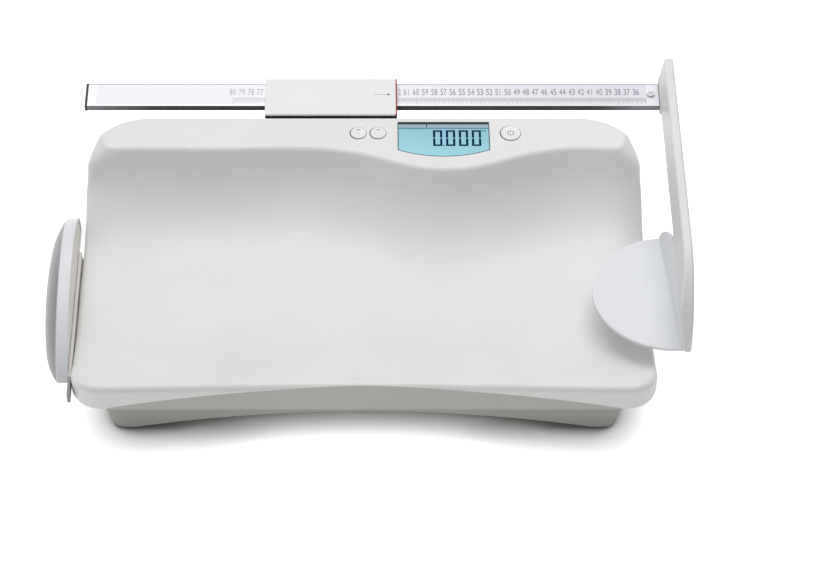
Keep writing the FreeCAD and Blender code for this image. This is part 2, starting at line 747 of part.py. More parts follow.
def battery_axes():
    _, _, y0, _ = bay()
    pitch = 2 * battery_r + battery_gap
    return [y0 + pitch * (row + 0.5) for row in range(battery_rows)]


def make_batteries():
    x0, _, _, _ = bay()
    found = []
    for y in battery_axes():
        for n in range(2):
            start = x0 + contact_t + contact_spring + n * battery_length
            can = rod_x(battery_r, start, start + battery_length - battery_nub, y, battery_z)
            nub = rod_x(battery_nub_r, start, start + battery_length, y, battery_z)
            found.append(can.fuse(nub).removeSplitter())
    return Part.makeCompound(found)


def make_contacts():
    x0, x1, _, _ = bay()
    found = []
    z0, z1 = battery_z - contact_half + 1, battery_z + contact_half - 1
    for y in battery_axes():
        seat = vec(x0 + contact_t, y, battery_z)
        spring = Part.makeCone(5.0, 3.2, contact_spring, seat, vec(1, 0, 0))
        spring = spring.cut(Part.makeCone(4.2, 2.4, contact_spring, seat, vec(1, 0, 0)))
        leaf = box(x0, x0 + contact_t, y - contact_half, y + contact_half, z0, z1)
        found.append(leaf.fuse(spring).removeSplitter())
        found.append(box(x1 - contact_t, x1, y - contact_half, y + contact_half, z0, z1))
    return Part.makeCompound(found)


def make_battery_door():
    """A plate that slides in grooves under the base, with a ribbed finger grip."""
    x0, x1, y0, y1 = bay()
    x0, x1 = x0 - door_lap + running_gap, x1 + door_lap - running_gap
    y0, y1 = y0 - door_lap + running_gap, y1 + door_lap - running_gap
    low, high = foot_height + door_lift, foot_height + door_t + door_lift / 2
    plate = box(x0, x1, y0, y1, low, high)
    wings = box(x0, x1, y0 - door_tongue, y1 + door_tongue, low + door_t - door_tongue, high)
    starts = [x1 - 8 - door_grip_pitch * n for n in range(door_grips)]
    grip = [box(x, x + door_grip_width, y0 + 12, y1 - 12, low - 1, low + 0.7) for x in starts]
    return joined([plate, wings]).cut(Part.makeCompound(grip))


# ---- the measuring rod ----
def make_bracket():
    """An angle that carries the guide sleeve behind the console."""
    x0, x1 = sleeve_mid - bracket_length / 2, sleeve_mid + bracket_length / 2
    y0 = rear + clearance
    top = sleeve_z
    leg = box(x0, x1, y0, y0 + bracket_t, top - bracket_drop, top)
    shelf = box(x0, x1, y0, sleeve_rear, top - bracket_t, top)
    ribs = []
    for x in (x0 + 8, sleeve_mid - 1.5, x1 - 11):
        tri = [vec(x, y0, top - 1), vec(x, y0, top - gusset_height), vec(x, y0 + gusset_reach, top - 1)]
        ribs.append(Part.Face(Part.makePolygon(tri + tri[:1])).extrude(vec(3, 0, 0)))
    holes = [rod_y(screw_r + clearance, x, y0 - 1, y0 + bracket_t + 1, bracket_screw_z)
             for x in bracket_screws()]
    holes += [rod(screw_r + clearance, x, sleeve_screw_y, top - 5, top + 1) for x in sleeve_screws()]
    return joined([leg, shelf] + ribs).cut(Part.makeCompound(holes))


def bracket_screws():
    return [sleeve_mid - 0.36 * bracket_length, sleeve_mid + 0.36 * bracket_length]


def sleeve_screws():
    return [sleeve_mid - 0.33 * bracket_length, sleeve_mid + 0.33 * bracket_length]


def make_bracket_screws():
    y = rear + clearance + bracket_t
    return Part.makeCompound([screw(vec(x, y, bracket_screw_z), FRONT, 11) for x in bracket_screws()])


def rail_space(grow):
    """The rail's outer form, grown for a channel round it."""
    half = rail_width / 2 + grow
    return box(sleeve_left - 1, sleeve_right + 1, rail_y - half, rail_y + half,
               rail_top - rail_t - grow, rail_top + grow)


def pad_places():
    offset = 0.36 * rail_width
    return [(x, y) for x in (sleeve_left + pad_inset, sleeve_right - pad_inset - pad_length)
            for y in (rail_y - offset, rail_y + offset - pad_width)]


def make_sleeve():
    """The lower half of the guide, with a channel for the rail and pockets for its glide pads."""
    top = rail_top + running_gap
    body = rounded_box(sleeve_left, sleeve_right, sleeve_front, sleeve_rear, sleeve_z, top, 1.5)
    cuts = [rail_space(running_gap)]
    for x, y in pad_places():
        cuts.append(box(x, x + pad_length, y, y + pad_width, rail_top - rail_t - pad_t, rail_top))
    front = rail_y - rail_width / 2 - running_gap
    for x0 in [sleeve_left + offset for offset in pocket_offsets]:
        cuts.append(box(x0, x0 + pocket_length, sleeve_front + 2.5, front - 2, sleeve_z + 2, top + 1))
    cuts += [rod(screw_r + clearance, x, sleeve_screw_y, sleeve_z - 1, top + 1) for x in sleeve_screws()]
    return body.cut(Part.makeCompound(cuts))


def make_sleeve_lid():
    z0 = rail_top + running_gap
    lid = rounded_box(sleeve_left, sleeve_right - reading_line_t, sleeve_front, sleeve_rear,
                      z0, z0 + sleeve_lid_t, 1.0)
    drills = [rod(screw_r, x, sleeve_screw_y, z0 - 1, z0 + 1.4) for x in sleeve_screws()]
    return lid.cut(Part.makeCompound(drills))


def make_reading_line():
    z0 = rail_top + running_gap
    return box(sleeve_right - reading_line_t, sleeve_right, sleeve_front, sleeve_rear, z0, z0 + sleeve_lid_t)


def make_pads():
    z0, g = rail_top - rail_t, strip_gap
    return Part.makeCompound([box(x + g, x + pad_length - g, y + g, y + pad_width - g, z0 - pad_t, z0 - g / 2)
                              for x, y in pad_places()])


def make_sleeve_screws():
    low = sleeve_z - bracket_t
    length = rail_top + running_gap + 1.2 - low
    return Part.makeCompound([screw(vec(x, sleeve_screw_y, low), UP, length) for x in sleeve_screws()])


def chamber(x0, x1, mid_y, half, gap):
    """One of the rail's hollow chambers, or a plug for it when gap is more than 0."""
    return box(x0, x1, mid_y - half + gap, mid_y + half - gap, rail_top - rail_t + rail_wall + gap,
               rail_top - rail_wall - gap)


def side_chambers():
    """Middle and half-width of the two outer chambers."""
    half = (rail_width / 2 - rail_wall * 2 - spigot_half) / 2
    offset = spigot_half + rail_wall + half
    return [(rail_y - offset, half), (rail_y + offset, half)]


def make_rail():
    """A flat aluminium extrusion with three chambers and a shallow bed for the scale strip."""
    half = rail_width / 2
    bar = box(rail_left, rail_right, rail_y - half, rail_y + half, rail_top - rail_t, rail_top)
    bar = bar.makeChamfer(rail_bevel, [e for e in bar.Edges if e.Length > 100])
    cuts = [chamber(rail_left - 1, rail_right + 1, rail_y, spigot_half, 0)]
    cuts += [chamber(rail_left - 1, rail_right + 1, y, h, 0) for y, h in side_chambers()]
    cuts.append(box(strip_left, strip_right, rail_y - half + strip_margin, rail_y + half - strip_margin,
                    rail_top - strip_t, rail_top + 1))
    cuts.append(rod(rail_screw_r + clearance, rail_screw_x, rail_y, rail_top - 3, rail_top + 1))
    return bar.cut(Part.makeCompound(cuts))


def make_strip():
    half = rail_width / 2 - strip_margin - strip_gap
    return box(strip_left + strip_gap, strip_right - strip_gap, rail_y - half, rail_y + half,
               rail_top - strip_t, rail_top)


def make_end_cap():
    half = rail_width / 2
    cap = box(rail_left - end_cap_t, rail_left, rail_y - half, rail_y + half, rail_top - rail_t, rail_top)
    outer = [e for e in cap.Edges if abs(middle(e).x - rail_left + end_cap_t) < 0.01]
    cap = cap.makeChamfer(end_cap_bevel, outer)
    plugs = [chamber(rail_left - 0.5, rail_left + plug_length, y, h, 0.1) for y, h in side_chambers()]
    return joined([cap] + plugs)


def quarter_oval(centre, ahead, above):
    """A quarter of an ellipse between the ends of its level and its upright half-axis."""
    wide, tall = ahead - centre, above - centre
    if abs(wide.Length - tall.Length) < 0.01:
        return Part.Arc(ahead, centre + (wide + tall) * math.sqrt(0.5), above).toShape()
    long, short = (ahead, above) if wide.Length > tall.Length else (above, ahead)
    return Part.ArcOfEllipse(Part.Ellipse(long, short, centre), 0, math.pi / 2).toShape()


def arm_region(inset):
    """Side view of the arm, filled in below: level at the back, a quarter ellipse at the front."""
    top, nose, rear = arm_top - inset, arm_nose_y + inset, arm_rear - inset
    centre = vec(0, arm_bend_y, arm_end_z)
    bend = quarter_oval(centre, vec(0, nose, arm_end_z), vec(0, arm_bend_y, top))
    ring = [vec(0, arm_bend_y, top), vec(0, rear, top), vec(0, rear, arm_end_z), vec(0, nose, arm_end_z)]
    sides = [Part.LineSegment(a, b).toShape() for a, b in zip(ring, ring[1:])]
    return Part.Face(Part.Wire([bend] + sides))


def arm_inner(z):
    """X of the arm's sloping inner face at height z."""
    return arm_low_in + (z - arm_bottom) * (arm_top_in - arm_low_in) / (arm_top - arm_bottom)


def arm_block(inset):
    z0 = arm_end_z + inset
    block = arm_region(inset).extrude(vec(arm_outer - inset, 0, 0))
    low, high = arm_end_z - 20, arm_top + 20
    side = [vec(-1, 0, low), vec(arm_inner(low) + inset, 0, low), vec(arm_inner(high) + inset, 0, high),
            vec(-1, 0, high)]
    wedge = at(Part.Face(Part.makePolygon(side + side[:1])).extrude(vec(0, 900, 0)), 0, -400, 0)
    return block.cut(wedge).cut(box(-2, arm_outer + 1, -400, 400, low, z0))


def arm_underside():
    """The open space inside the arm's bend and below its level run."""
    centre = vec(-1, arm_bend_y, arm_end_z)
    ahead, above = vec(-1, arm_bend_y - bend_reach, arm_end_z), vec(-1, arm_bend_y, arm_bottom)
    bend = quarter_oval(centre, ahead, above)
    low = arm_end_z - 60
    ring = [vec(-1, arm_bend_y, arm_bottom), vec(-1, arm_rear + 1, arm_bottom), vec(-1, arm_rear + 1, low),
            vec(-1, arm_bend_y - bend_reach, low), vec(-1, arm_bend_y - bend_reach, arm_end_z)]
    sides = [Part.LineSegment(a, b).toShape() for a, b in zip(ring, ring[1:])]
    return Part.Face(Part.Wire([bend] + sides)).extrude(vec(arm_outer + 2, 0, 0))


def pad_screws():
    """Y and Z of the screws that hold the foot stop to the arm's web."""
    return [(scoop_y + y, scoop_z + z) for y, z in scoop_pads]


def make_arm():
    """The arm that carries the foot stop: a ribbed channel open below, with a boss for the rail."""
    under = arm_underside()
    arm = arm_block(0).cut(under)
    arm = arm.makeFillet(arm_round, [e for e in arm.Edges if is_arm_top(e)])
    pocket = arm_block(arm_rib)
    arm = arm.cut(pocket)
    places = [arm_bend_y + arm_rib_pitch * n for n in range(6)]
    ribs = [box(end, arm_outer - 1, y, y + arm_rib_t, arm_bottom, arm_top - 1) for y in places]
    ribs = [rib.common(pocket).cut(under) for rib in ribs]
    web = box(web_x, arm_outer, arm_bend_y - bend_reach - 1, scoop_y + 46, arm_end_z, arm_bottom + 4)
    boss = box(arm_low_in, arm_outer, boss_front, arm_rear, boss_bottom, arm_bottom + 6)
    half_z = rail_t / 2 - rail_wall - clearance
    half_y = spigot_half - clearance
    mid_z = rail_top - rail_t / 2
    spigot = box(arm_low_in - spigot_length, arm_low_in + 1, rail_y - half_y, rail_y + half_y,
                 mid_z - half_z, mid_z + half_z)
    arm = joined([arm, web, boss, spigot] + ribs)
    below = box(0, arm_outer, -rear, rear, arm_end_z - 1, arm_bottom - 1)
    seat = scoop_front(scoop_t + seat_gap).common(below)
    cuts = [seat, rod(rail_screw_r, rail_screw_x, rail_y, mid_z - 4, mid_z + 4)]
    for y, z in pad_screws():
        cuts.append(rod_x(screw_r + clearance, web_x - 1, arm_outer + 1, y, z))
        cuts.append(sink(vec(arm_outer, y, z), LEFT))
    return arm.cut(Part.makeCompound(cuts))


def is_arm_top(edge):
    """The long upper edges of the arm, round the bend and down to its end."""
    point = middle(edge)
    outer = point.z > arm_bottom + 5 or point.y < arm_bend_y - bend_reach - 4
    return outer and edge.Length > 60


def make_rail_screw():
    return screw(vec(rail_screw_x, rail_y, rail_top), DOWN, rail_t - rail_wall - 1, rail_screw_r)


def make_foot_stop():
    """A half-round shelf with a half-elliptic upright behind it."""
    t, r = scoop_t, scoop_half
    line = Part.LineSegment(vec(0, r, 0), vec(0, -r, 0)).toShape()
    oval = Part.Ellipse(vec(-scoop_reach, 0, 0), vec(0, -r, 0), vec(0, 0, 0))
    shelf = Part.Face(Part.Wire([Part.ArcOfEllipse(oval, -math.pi / 2, math.pi / 2).toShape(), line]))
    shelf = shelf.extrude(vec(0, 0, -t))
    oval = Part.Ellipse(vec(0, r, 0), vec(0, 0, scoop_wall_h), vec(0, 0, 0))
    wall = Part.Face(Part.Wire([Part.ArcOfEllipse(oval, 0, math.pi).toShape(), line])).extrude(vec(t, 0, 0))
    wall = joined([wall, box(0, t, -r, r, -t, 0)])
    wall.rotate(vec(0, 0, 0), vec(0, 1, 0), scoop_flare)
    scoop = joined([shelf.fuse(box(-1, t, -r, r, -t, 0)), wall])
    scoop.rotate(vec(0, 0, 0), vec(0, 0, 1), scoop_turn)
    scoop = at(scoop, scoop_x, scoop_y, scoop_z)
    inside = scoop_front(0.5)
    pads = [rod_x(scoop_pad_r, scoop_x - 2 * t, web_x - clearance, y, z).cut(inside) for y, z in pad_screws()]
    scoop = joined([scoop] + pads)
    drills = [rod_x(screw_r, arm_outer - scoop_screw - 0.4, web_x, y, z) for y, z in pad_screws()]
    return scoop.cut(Part.makeCompound(drills))


def scoop_front(offset):
    """The space in front of a plane that lies behind the upright's inner face by offset."""
    half = scoop_half + 5
    space = box(-scoop_reach, offset, -half, half, -20, scoop_wall_h + 20)
    space.rotate(vec(0, 0, 0), vec(0, 1, 0), scoop_flare)
    space.rotate(vec(0, 0, 0), vec(0, 0, 1), scoop_turn)
    return at(space, scoop_x, scoop_y, scoop_z)


def make_foot_stop_screws():
    return Part.makeCompound([screw(vec(arm_outer, y, z), LEFT, scoop_screw, countersunk=True)
                              for y, z in pad_screws()])


# ---- the head stop ----
def head_profile(skin, rim):
    """Outline from the axis over the dome to the rim and back along the face; skin moves it inwards."""
    r, a, b = head_half - skin, -head_rim + 0.6 * skin, -head_rim - head_dome + skin
    dome = Part.BSplineCurve()
    points = [vec(b, 0, 0), vec(b + 0.12 * (a - b), 0.5 * r, 0), vec(b + 0.48 * (a - b), 0.82 * r, 0)]
    points.append(vec(a, r, 0))
    dome.interpolate(Points=points, Tangents=[FRONT * -1] * 4, TangentFlags=[True, False, False, False])
    ring = [vec(a, r, 0), vec(rim, r, 0), vec(rim, 0, 0), vec(b, 0, 0)]
    return [dome.toShape()] + [Part.LineSegment(p, q).toShape() for p, q in zip(ring, ring[1:])]


def head_disc(skin, rim):
    return Part.Face(Part.Wire(head_profile(skin, rim))).revolve(vec(0, 0, 0), vec(1, 0, 0), 180)


def make_head_stop():
    """A dished half-oval with a domed back, closed along its lower edge and raked towards the rear."""
    squash = head_rise / head_half
    hollow = head_disc(head_wall, 1)
    hollow = hollow.cut(box(2 * head_out, 2, -head_half, head_half, -1, head_floor / squash))
    rake = FreeCAD.Matrix()
    rake.A33 = squash
    rake.A23 = head_skew * squash
    shell = head_disc(0, 0).cut(hollow).transformGeometry(rake)
    shell = at(shell, head_face, head_y, head_z)
    drills = [rod_x(screw_r, head_face - head_screw, head_face + 1, y, z) for y, z in head_screw_places()]
    return shell.cut(Part.makeCompound(drills))


def head_screw_places():
    return [(y, head_z + head_screw_up) for y in head_screw_y]


def make_head_clip():
    """A J-shaped strip: an upright plate, turned in and up under the tray's skirt."""
    x1 = -end - clearance
    x0 = x1 - clip_t
    low = skirt_bottom - clearance - clip_t
    plate = box(x0, x1, clip_y0, clip_y1, low, head_z + clip_rise)
    inner = -end + tray_wall + clearance + tray_taper
    hook_y = -rear + tray_front_corner + 3
    foot = box(x0, inner + clip_t, hook_y, clip_y1, low, low + clip_t)
    lip = box(inner, inner + clip_t, hook_y, clip_y1, low, low + clip_t + clip_lip)
    holes = [rod_x(screw_r + clearance, x0 - 1, x1 + 1, y, z) for y, z in head_screw_places()]
    holes += [sink(vec(x1, y, z), LEFT) for y, z in head_screw_places()]
    return joined([plate, foot, lip]).cut(Part.makeCompound(holes))


def make_head_screws():
    x = -end - clearance
    return Part.makeCompound([screw(vec(x, y, z), LEFT, head_screw, countersunk=True)
                              for y, z in head_screw_places()])


def make_tray_screws():
    length = carrier_t + pillar_thread - 2
    return Part.makeCompound([screw(vec(x, y, carrier_z), UP, length) for x, y in pillar_places()])


def make_console_screws():
    found = [screw(vec(x, y, board_z), UP, board_t + 7) for x, y in board_bosses()]
    found += [screw(vec(x, y, cover_z), UP, cover_t + 8) for x, y in cover_bosses()]
    return Part.makeCompound(found)


def make_plate_screws():
    top = floor_z + plate_t
    return Part.makeCompound([screw(vec(x, y, top), DOWN, plate_t + 3) for x, y in plate_screws()])


# ---- the assembly ----
def save(name, shape):
    """Write one piece with the origin on the floor under the middle of the instrument."""
    shape = at(shape, -origin_x, -origin_y, 0)
    if not shape.isValid():
        print("invalid:", name)
    shape.exportStep("parts/" + name + ".step")


PIECES = [
    ("weighing_tray", make_tray),
    ("display_window", make_window),
    ("display_glass", make_lcd_glass),
    ("display_holder", make_lcd_frame),
    ("main_circuit_board", make_board),
    ("tact_switches", make_switches),
    ("tare_button", lambda: make_button(small_button_x[0], small_button_r)),
    ("hold_button", lambda: make_button(small_button_x[1], small_button_r)),
    ("power_button", lambda: make_button(power_button_x, power_button_r)),
    ("console_cover", make_console_cover),
    ("console_screws", make_console_screws),
    ("power_socket", make_power_socket),
    ("base_housing", make_base_housing),
    ("rubber_feet", make_feet),
    ("floor_plate", make_floor_plate),
    ("floor_plate_screws", make_plate_screws),
    ("cell_spacer_lower", lambda: make_spacer(-1, floor_z + plate_t, cell_z)),
    ("cell_spacer_upper", lambda: make_spacer(1, cell_z + cell_height, carrier_z)),
    ("load_cell", make_load_cell),
    ("load_cell_bolts", make_cell_bolts),
    ("tray_carrier", make_carrier),
    ("tray_screws", make_tray_screws),
    ("overload_stops", make_stops),
    ("battery_box", make_battery_box),
    ("batteries", make_batteries),
    ("battery_contacts", make_contacts),
    ("battery_door", make_battery_door),
    ("rod_bracket", make_bracket),
    ("bracket_screws", make_bracket_screws),
    ("guide_sleeve", make_sleeve),
    ("sleeve_lid", make_sleeve_lid),
    ("reading_line", make_reading_line),
    ("glide_pads", make_pads),
    ("sleeve_screws", make_sleeve_screws),
    ("measuring_rail", make_rail),
    ("scale_strip", make_strip),
    ("rail_end_cap", make_end_cap),
    ("rail_screw", make_rail_screw),
    ("foot_arm", make_arm),
    ("foot_stop", make_foot_stop),
    ("foot_stop_screws", make_foot_stop_screws),
    ("head_stop", make_head_stop),
    ("head_stop_clip", make_head_clip),
    ("head_stop_screws", make_head_screws),
]


def main():
    os.makedirs("parts", exist_ok=True)
    for name, make in PIECES:
        save(name, make())


if __name__ == "__main__":
    main()
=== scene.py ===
import math

import bmesh
import bpy
from bpy.props import FloatProperty, FloatVectorProperty, PointerProperty, StringProperty
from mathutils import Matrix, Vector


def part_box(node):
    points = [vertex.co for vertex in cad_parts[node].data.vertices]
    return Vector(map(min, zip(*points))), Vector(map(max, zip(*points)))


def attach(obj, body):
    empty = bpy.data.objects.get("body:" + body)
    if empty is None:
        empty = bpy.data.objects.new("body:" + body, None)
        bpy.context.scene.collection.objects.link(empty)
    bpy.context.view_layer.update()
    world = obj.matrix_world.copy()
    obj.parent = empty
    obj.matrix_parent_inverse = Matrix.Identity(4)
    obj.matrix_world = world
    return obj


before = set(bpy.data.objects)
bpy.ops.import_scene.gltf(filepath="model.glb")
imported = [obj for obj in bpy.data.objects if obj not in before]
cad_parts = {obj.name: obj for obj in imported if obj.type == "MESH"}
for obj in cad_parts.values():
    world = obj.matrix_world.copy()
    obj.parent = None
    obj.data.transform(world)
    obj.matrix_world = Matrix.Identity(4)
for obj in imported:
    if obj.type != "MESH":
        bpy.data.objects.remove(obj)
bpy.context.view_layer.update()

bl_info = {
    "name": "Baby weighing scale",
    "version": (1, 0, 0),
    "blender": (4, 5, 0),
    "location": "3D View > Sidebar > Baby scale",
    "description": "Finishes, display, rod markings and studio for a baby weighing scale",
    "category": "Object",
}

MM = 0.001
RIGHT, BACK = (1.0, 0.0, 0.0), (0.0, 1.0, 0.0)
# the base's wall below this plane is painted darker, as shade
CREASE = (0.0, 0.7431, 0.6691)      # across the plane, leaning back, in which the base's front crease lies
# roughness, and the width and depth of the surface's grain
SATIN = (0.42, 0.6 * MM, 0.004 * MM)
POLISHED = (0.36, 0.6 * MM, 0.004 * MM)
LID = (0.4, 0.6 * MM, 0.004 * MM)
COATED = (0.5, 1.6 * MM, 0.03 * MM)
INK = (0.6, 0.5 * MM, 0.001 * MM)

MARK_OF_BUTTON = {"tare_button": "dash and dot", "hold_button": "dash", "power_button": "power"}
# lit segments of each figure: a is the top one, b to f follow clockwise, g is the middle one
LIT = {"0": "abcdef", "1": "bc", "2": "abged", "3": "abgcd", "4": "fgbc",
       "5": "afgcd", "6": "afgedc", "7": "abc", "8": "abcdefg", "9": "abcdfg"}


# ---- colour and nodes ----
def linear(colour):
    """A linear RGBA colour from an sRGB hex value."""
    parts = [int(colour[i:i + 2], 16) / 255 for i in (1, 3, 5)]
    return tuple(p / 12.92 if p <= 0.04045 else ((p + 0.055) / 1.055) ** 2.4 for p in parts) + (1.0,)


def add(tree, kind, settings=None, inputs=None):
    """Adds one node. An input given as a socket is linked, and anything else is its value."""
    made = tree.nodes.new(kind)
    for key, value in (settings or {}).items():
        setattr(made, key, value)
    for key, value in (inputs or {}).items():
        if isinstance(value, bpy.types.NodeSocket):
            tree.links.new(value, made.inputs[key])
        else:
            made.inputs[key].default_value = value
    return made


def blank(name):
    """A new material with an empty tree and its object coordinates."""
    made = bpy.data.materials.new(name)
    made.use_nodes = True
    made.node_tree.nodes.clear()
    coordinates = add(made.node_tree, "ShaderNodeTexCoord").outputs["Object"]
    return made, made.node_tree, coordinates


def split_by(tree, at, axis):
    """One coordinate of a place or a direction."""
    return add(tree, "ShaderNodeSeparateXYZ", None, {"Vector": at}).outputs[axis]


def ramp(tree, value, low, high, out_low=0.0, out_high=1.0):
    """Value, stretched from low..high to out_low..out_high and held beyond them."""
    inputs = {"Value": value, "From Min": low, "From Max": high, "To Min": out_low, "To Max": out_high}
    return add(tree, "ShaderNodeMapRange", {"clamp": True}, inputs).outputs["Result"]


def larger(tree, a, b):
    """The larger one of two values."""
    return add(tree, "ShaderNodeMath", {"operation": "MAXIMUM"}, {0: a, 1: b}).outputs[0]


def occlusion(tree, reach, samples):
    """How open a place is: 0 where all is covered within reach, 1 in the open."""
    return add(tree, "ShaderNodeAmbientOcclusion", {"samples": samples}, {"Distance": reach}).outputs["AO"]


def times(colour, factor):
    """The same hue, lighter or darker by factor."""
    return tuple(c * factor for c in colour[:3]) + (1.0,)


def mixed(tree, factor, a, b):
    """Colour a where factor is 0 and b where it is 1."""
    return add(tree, "ShaderNodeMix", {"data_type": "RGBA"}, {0: factor, 6: a, 7: b}).outputs[2]


def noise(tree, coordinates, size, detail=2.0):
    """Noise whose blotches are about size metres wide."""
    inputs = {"Vector": coordinates, "Scale": 1.0 / size, "Detail": detail}
    return add(tree, "ShaderNodeTexNoise", None, inputs).outputs["Fac"]


def surface(tree, inputs):
    """Ends the tree in one principled shader."""
    shader = add(tree, "ShaderNodeBsdfPrincipled", None, inputs)
    add(tree, "ShaderNodeOutputMaterial", None, {"Surface": shader.outputs["BSDF"]})


def grain(tree, coordinates, size, height):
    """A normal for a fine grain, size metres across and height metres deep."""
    inputs = {"Height": noise(tree, coordinates, size), "Strength": 1.0, "Distance": height}
    return add(tree, "ShaderNodeBump", None, inputs).outputs["Normal"]


def moulded(name, colour, rough, grain_size, grain_height, shade=0.96, coat=0.0, zone=None, gloss=0.5,
            painted_shade_reach=0.0, painted_edge_shade=0.0):
    """Injection-moulded plastic: an even colour with faint flow marks and a fine mould grain.
    Shade is how much darker the flow marks are, coat the weight of a polished skin, and gloss how
    strongly the surface mirrors the room.
    A zone is a direction, the two places along it between which its own colour ends, and that colour.
    The shade reach is how far from other pieces painted shade darkens the plastic.
    The edge shade is how much painted shade darkens the plastic where it turns away from the eye."""
    made, tree, at = blank(name)
    flow = ramp(tree, noise(tree, at, 90 * MM, 3.0), 0.35, 0.65)
    shown = mixed(tree, flow, colour, times(colour, shade))
    if zone:
        way, start, end, own = zone
        place = add(tree, "ShaderNodeVectorMath", {"operation": "DOT_PRODUCT"}, {0: at, 1: way})
        shown = mixed(tree, ramp(tree, place.outputs["Value"], start, end), own, shown)
    if painted_shade_reach:
        # painted shade: darker where other pieces close the plastic in
        near = occlusion(tree, painted_shade_reach, 8)
        shown = mixed(tree, ramp(tree, near, 0.15, 0.75), times(colour, 0.3), shown)
    if painted_edge_shade:
        # painted shade: darker where the surface turns away from the eye
        turned = add(tree, "ShaderNodeLayerWeight", None, {"Blend": 0.5}).outputs["Facing"]
        shown = mixed(tree, ramp(tree, turned, 0.76, 0.96, 0.0, painted_edge_shade), shown, times(colour, 0.25))
    surface(tree, {
        "Base Color": shown,
        "Roughness": ramp(tree, noise(tree, at, 20 * MM), 0.3, 0.7, rough - 0.03, rough + 0.03),
        "IOR": 1.53,
        "Specular IOR Level": gloss,
        "Coat Weight": coat,
        "Coat Roughness": 0.08,
        "Normal": grain(tree, at, grain_size, grain_height),
    })
    return made


def metal(name, colour, rough, stretch, grain_size, grain_height):
    """Bare or plated metal with grinding or rolling marks drawn out along one axis by stretch."""
    made, tree, at = blank(name)
    drawn = add(tree, "ShaderNodeMapping", None, {"Vector": at, "Scale": stretch}).outputs["Vector"]
    marks = noise(tree, drawn, grain_size, 4.0)
    surface(tree, {
        "Base Color": mixed(tree, ramp(tree, marks, 0.3, 0.7), colour, times(colour, 0.86)),
        "Metallic": 1.0,
        "Roughness": ramp(tree, marks, 0.3, 0.7, rough - 0.06, rough + 0.08),
        "Normal": grain(tree, drawn, grain_size, grain_height),
    })
    return made


def dress(node, material):
    """Gives a CAD node its finish."""
    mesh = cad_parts[node].data
    mesh.materials.clear()
    mesh.materials.append(material)


# ---- thin printed shapes ----
def prism(shape, ring, low, high):
    """A closed plate from an outline in plan."""
    under = [shape.verts.new((x, y, low)) for x, y in ring]
    over = [shape.verts.new((x, y, high)) for x, y in ring]
    shape.faces.new(over)
    shape.faces.new(list(reversed(under)))
    for i in range(len(ring)):
        j = (i + 1) % len(ring)
        shape.faces.new((under[i], under[j], over[j], over[i]))


def band(shape, inner, outer, low, high, closed):
    """A closed strip between two lines of the same number of points."""
    rings = [[shape.verts.new((x, y, z)) for x, y in line] for line, z in
             ((inner, low), (outer, low), (outer, high), (inner, high))]
    count = len(inner)
    for i in range(count if closed else count - 1):
        j = (i + 1) % count
        for a, b in zip(rings, rings[1:] + rings[:1]):
            shape.faces.new((a[i], b[i], b[j], a[j]))
    if not closed:
        shape.faces.new([ring[0] for ring in rings])
        shape.faces.new([ring[-1] for ring in reversed(rings)])


def bar(shape, x0, x1, y0, y1, low, high):
    """A closed bar, square to the axes."""
    prism(shape, [(x0, y0), (x1, y0), (x1, y1), (x0, y1)], low, high)


def circle(x, y, radius, start=0.0, stop=360.0, count=48):
    """Points round a circle or along an arc, its angles in degrees."""
    steps = count if stop - start >= 360.0 else count + 1
    angles = [math.radians(start + (stop - start) * n / count) for n in range(steps)]
    return [(x + radius * math.cos(a), y + radius * math.sin(a)) for a in angles]


def skin(shape, rings):
    """Joins each ring of vertices to the next, and closes both ends."""
    for under, over in zip(rings, rings[1:]):
        for i in range(len(under)):
            j = (i + 1) % len(under)
            shape.faces.new((under[i], under[j], over[j], over[i]))
    shape.faces.new(list(reversed(rings[0])))
    shape.faces.new(rings[-1])


def piece(name, shape, material, body):
    """Makes an object of a bmesh, and lets it ride on its CAD body."""
    bmesh.ops.recalc_face_normals(shape, faces=shape.faces)
    mesh = bpy.data.meshes.new(name)
    shape.to_mesh(mesh)
    shape.free()
    mesh.materials.append(material)
    made = bpy.data.objects.new(name, mesh)
    bpy.context.scene.collection.objects.link(made)
    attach(made, body)


def glyph(character, height, width, depth):
    """One character as a mesh, its lower left corner at the origin, fitted to height and width."""
    curve = bpy.data.curves.new("glyph", "FONT")
    curve.body = character
    curve.size = 1.0
    curve.extrude = 0.5
    curve.resolution_u = 4
    holder = bpy.data.objects.new("glyph", curve)
    bpy.context.scene.collection.objects.link(holder)
    found = holder.evaluated_get(bpy.context.evaluated_depsgraph_get())
    mesh = bpy.data.meshes.new_from_object(found)
    bpy.data.objects.remove(holder)
    bpy.data.curves.remove(curve)
    low = Vector([min(v.co[i] for v in mesh.vertices) for i in range(3)])
    high = Vector([max(v.co[i] for v in mesh.vertices) for i in range(3)])
    span = high - low
    # a one is only a stem: it keeps the stroke's width and stands in the middle
    stem = character == "1"
    wide = width * 0.17 if stem else width
    fit = Matrix.Diagonal((wide / span.x, height / span.y, depth / span.z, 1.0))
    mesh.transform(fit @ Matrix.Translation(-low))
    if stem:
        mesh.transform(Matrix.Translation((width * 0.42, 0.0, 0.0)))
    return mesh


def write(shape, words, z, height, pitch, width, depth):
    """Adds words, each a text with its lower left corner, their characters pitch apart."""
    glyphs = {}
    for text, x, y in words:
        for n, character in enumerate(text):
            if character not in glyphs:
                glyphs[character] = glyph(character, height, width, depth)
            mesh = glyphs[character].copy()
            mesh.transform(Matrix.Translation((x + n * pitch, y, z)))
            shape.from_mesh(mesh)
            bpy.data.meshes.remove(mesh)
    for mesh in glyphs.values():
        bpy.data.meshes.remove(mesh)


# ---- what a user may change ----
def colour_of(name, text, default):
    """A colour to set, its default an sRGB hex value."""
    return FloatVectorProperty(name=name, description=text, subtype="COLOR", size=4, min=0.0, max=1.0,
                               default=linear(default))


def length_of(name, text, default):
    """A length to set, its default in millimetres."""
    return FloatProperty(name=name, description=text, default=default * MM, min=0.0, unit="LENGTH")


